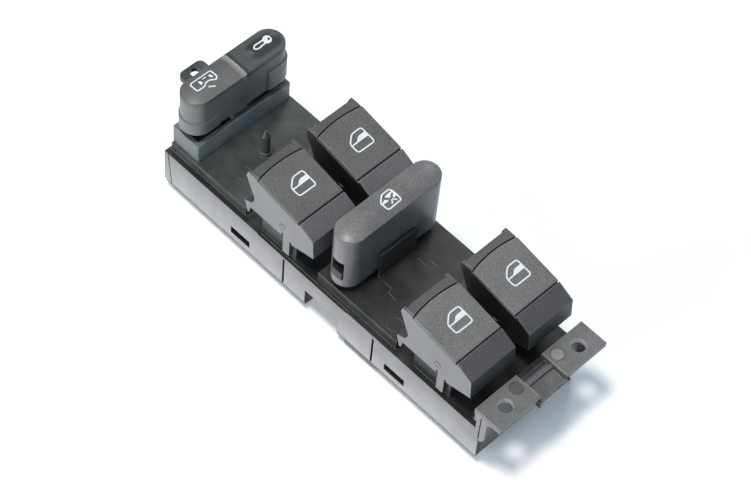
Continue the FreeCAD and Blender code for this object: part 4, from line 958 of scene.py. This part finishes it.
def lock_symbols():
    target = ("lock_rocker", "lock_switch")
    symbol(*target, "key_symbol_bow", key_bow())
    blade_line = rounded_corners(KEY_BLADE, radius=0.8, closed=False)
    symbol(*target, "key_symbol_blade", stroke(blade_line, KEY_LINE, closed=False), PRINT_MIDDLE)
    door_line = rounded_corners(DOOR_FRAME, radius=0.6)
    symbol(*target, "door_symbol_frame", stroke(door_line, DOOR_LINE))
    for i, points in enumerate(DOOR_PARTS):
        symbol(*target, "door_symbol_part_%d" % i, filled(points))
    symbol(*target, "door_symbol_dash", stroke(DOOR_DASH, DASH_LINE, closed=False))


# Marks that the mould leaves on flat faces, in mm, in pale and dark tones of painted highlight and
# painted shade, and pale lines of painted highlight along the rear channel
ALONG_X = (1, 0, 0)
BACK_X = (-1, 0, 0)
ALONG_Y = (0, 1, 0)
ALONG_Z = (0, 0, 1)
RING_STEPS = 32
RING_DEEP = 0.1
PIVOT_TURN = 300
DECK_RINGS = ((-49.65, -13.8), (-48.05, 16.0), (35.25, -19.1))
DECK_RING_TURN = 330
DECK_LINES = (
    [(20.25, 7.3), (24.45, 7.0), (24.05, 9.9), (27.95, 9.8)],
    [(18.95, -8.9), (23.45, -9.2), (23.95, -11.3), (28.45, -11.6)],
)
EJECTOR_X = 85.1
EJECTOR_Y = 10.4
EJECTOR_RADIUS = 2.45
MARK_LINE = 0.3
CHANNEL_LIP_X = (85.0, 93.2)
CHANNEL_LIP_Y = (-6.75, 6.75)
CHANNEL_RIDGE = [(85.55, -6.3), (85.55, 6.3)]
RIDGE_LINE = 0.35


def raised_ring(name, centre, across, up, inner, outer, high, body, material, turn=360):
    """A flat ring, or part of one, that stands a little proud of its face."""
    across = Vector(across)
    up = Vector(up)
    out = across.cross(up)
    middle = Vector(centre) * MM
    corners = []
    for k in range(RING_STEPS + 1):
        angle = math.radians(turn * k / RING_STEPS)
        way = across * math.cos(angle) + up * math.sin(angle)
        for radius in (inner, outer):
            for depth in (-RING_DEEP, high):
                corners.append(middle + (way * radius + out * depth) * MM)
    work = bmesh.new()
    verts = [work.verts.new(p) for p in corners]
    for k in range(RING_STEPS):
        a = verts[4 * k:4 * k + 4]
        b = verts[4 * k + 4:4 * k + 8]
        for i, j in ((0, 1), (1, 3), (3, 2), (2, 0)):
            work.faces.new((a[i], a[j], b[j], b[i]))
    if turn < 360:
        for section in (verts[:4], verts[-4:]):
            work.faces.new((section[0], section[1], section[3], section[2]))
    bmesh.ops.remove_doubles(work, verts=work.verts, dist=WELD)
    piece = linked(name, mesh_of(work, name))
    finish_with(piece, material)
    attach(piece, body)


def pivot_marks(owner, centre, across, radius, body, material):
    """A round face over a pivot, and round it a broken dark ring of painted shade, where the face is
    grooved.
    """
    raised_ring(owner + "_pivot_ring", centre, across, ALONG_Z, inner=radius - 0.05, outer=radius + 0.2,
                high=0.06, body=body, material=SHADE, turn=PIVOT_TURN)
    raised_ring(owner + "_pivot_face", centre, across, ALONG_Z, inner=0.0, outer=radius + 0.1,
                high=0.03, body=body, material=material)


def ejector_marks(name, side, material):
    """A round face on the flange where a pin pushed it out of the mould, and its rim."""
    spot = (EJECTOR_X, EJECTOR_Y * side, FLANGE_TOP)
    raised_ring(name + "_ejector_rim", spot, ALONG_X, ALONG_Y, inner=EJECTOR_RADIUS,
                outer=EJECTOR_RADIUS + 0.3, high=0.05, body="housing", material=MARK)
    raised_ring(name + "_ejector_disc", spot, ALONG_X, ALONG_Y, inner=0.0, outer=EJECTOR_RADIUS,
                high=0.02, body="housing", material=material)


def housing_line(name, points, width, material, high):
    """A thin line on the housing, which stands a little proud of it."""
    line = stroke(points, width, closed=False)
    laid("upper_housing", line, name, "housing", material, high=high)


def marks_and_highlight_lines():
    for place in ROCKERS:
        end, side = place.split("_")
        near = side == "left"
        cheek = PIVOT_Y[side] + (-ROCKER_HALF if near else ROCKER_HALF)
        centre = (PIVOT_X[end], cheek, PIVOT_Z)
        pivot_marks(place, centre, ALONG_X if near else BACK_X, PIVOT_RADIUS, place + "_switch", ROCKER)
    lock_centre = (LOCK_X + LOCK_RADIUS, 0, LOCK_PIVOT_Z)
    pivot_marks("lock", lock_centre, ALONG_Y, LOCK_PIVOT_RADIUS, "lock_switch", LOCK)
    # Painted shade on the left ejector disc and painted light on the right one.
    ejector_marks("left", -1, DARK_DISC)
    ejector_marks("right", 1, DISC)
    for i, spot in enumerate(DECK_RINGS):
        raised_ring("deck_ring_%d" % i, (*spot, DECK_Z), ALONG_X, ALONG_Y, inner=2.8, outer=3.05,
                    high=0.05, body="housing", material=MARK, turn=DECK_RING_TURN)
    # Painted highlight: thin pale lines along the lips of the rear channel and across its front.
    for i, y in enumerate(CHANNEL_LIP_Y):
        housing_line("channel_lip_highlight_%d" % i, [(x, y) for x in CHANNEL_LIP_X], MARK_LINE, DISC, high=0.03)
    housing_line("channel_ridge_highlight", CHANNEL_RIDGE, RIDGE_LINE, DISC, high=0.05)
    for i, points in enumerate(DECK_LINES):
        housing_line("deck_line_%d" % i, points, MARK_LINE, MARK, high=0.03)


make_camera()
make_world()
make_floor()
make_lights()
finish_nodes()
dressed("upper_housing", "upper_housing_skin", "housing", HOUSING, width=0.25)
dressed("lower_cover", "lower_cover_skin", "housing", COVER, width=0.2)
dressed("lockout_button", "lockout_button_skin", "lockout_switch", CAP, width=0.35)
dressed("lock_rocker", "lock_rocker_skin", "lock_switch", LOCK, width=0.15)
coil_spring()
for place in ROCKERS:
    dressed(place + "_rocker", place + "_rocker_skin", place + "_switch", ROCKER, width=0.25)
    dressed(place + "_pad", place + "_pad_skin", place + "_switch", PAD, width=0.3)
    window_symbol(place)
lockout_symbol()
lock_symbols()
marks_and_highlight_lines()

scene = bpy.context.scene
scene.view_settings.view_transform = "Standard"
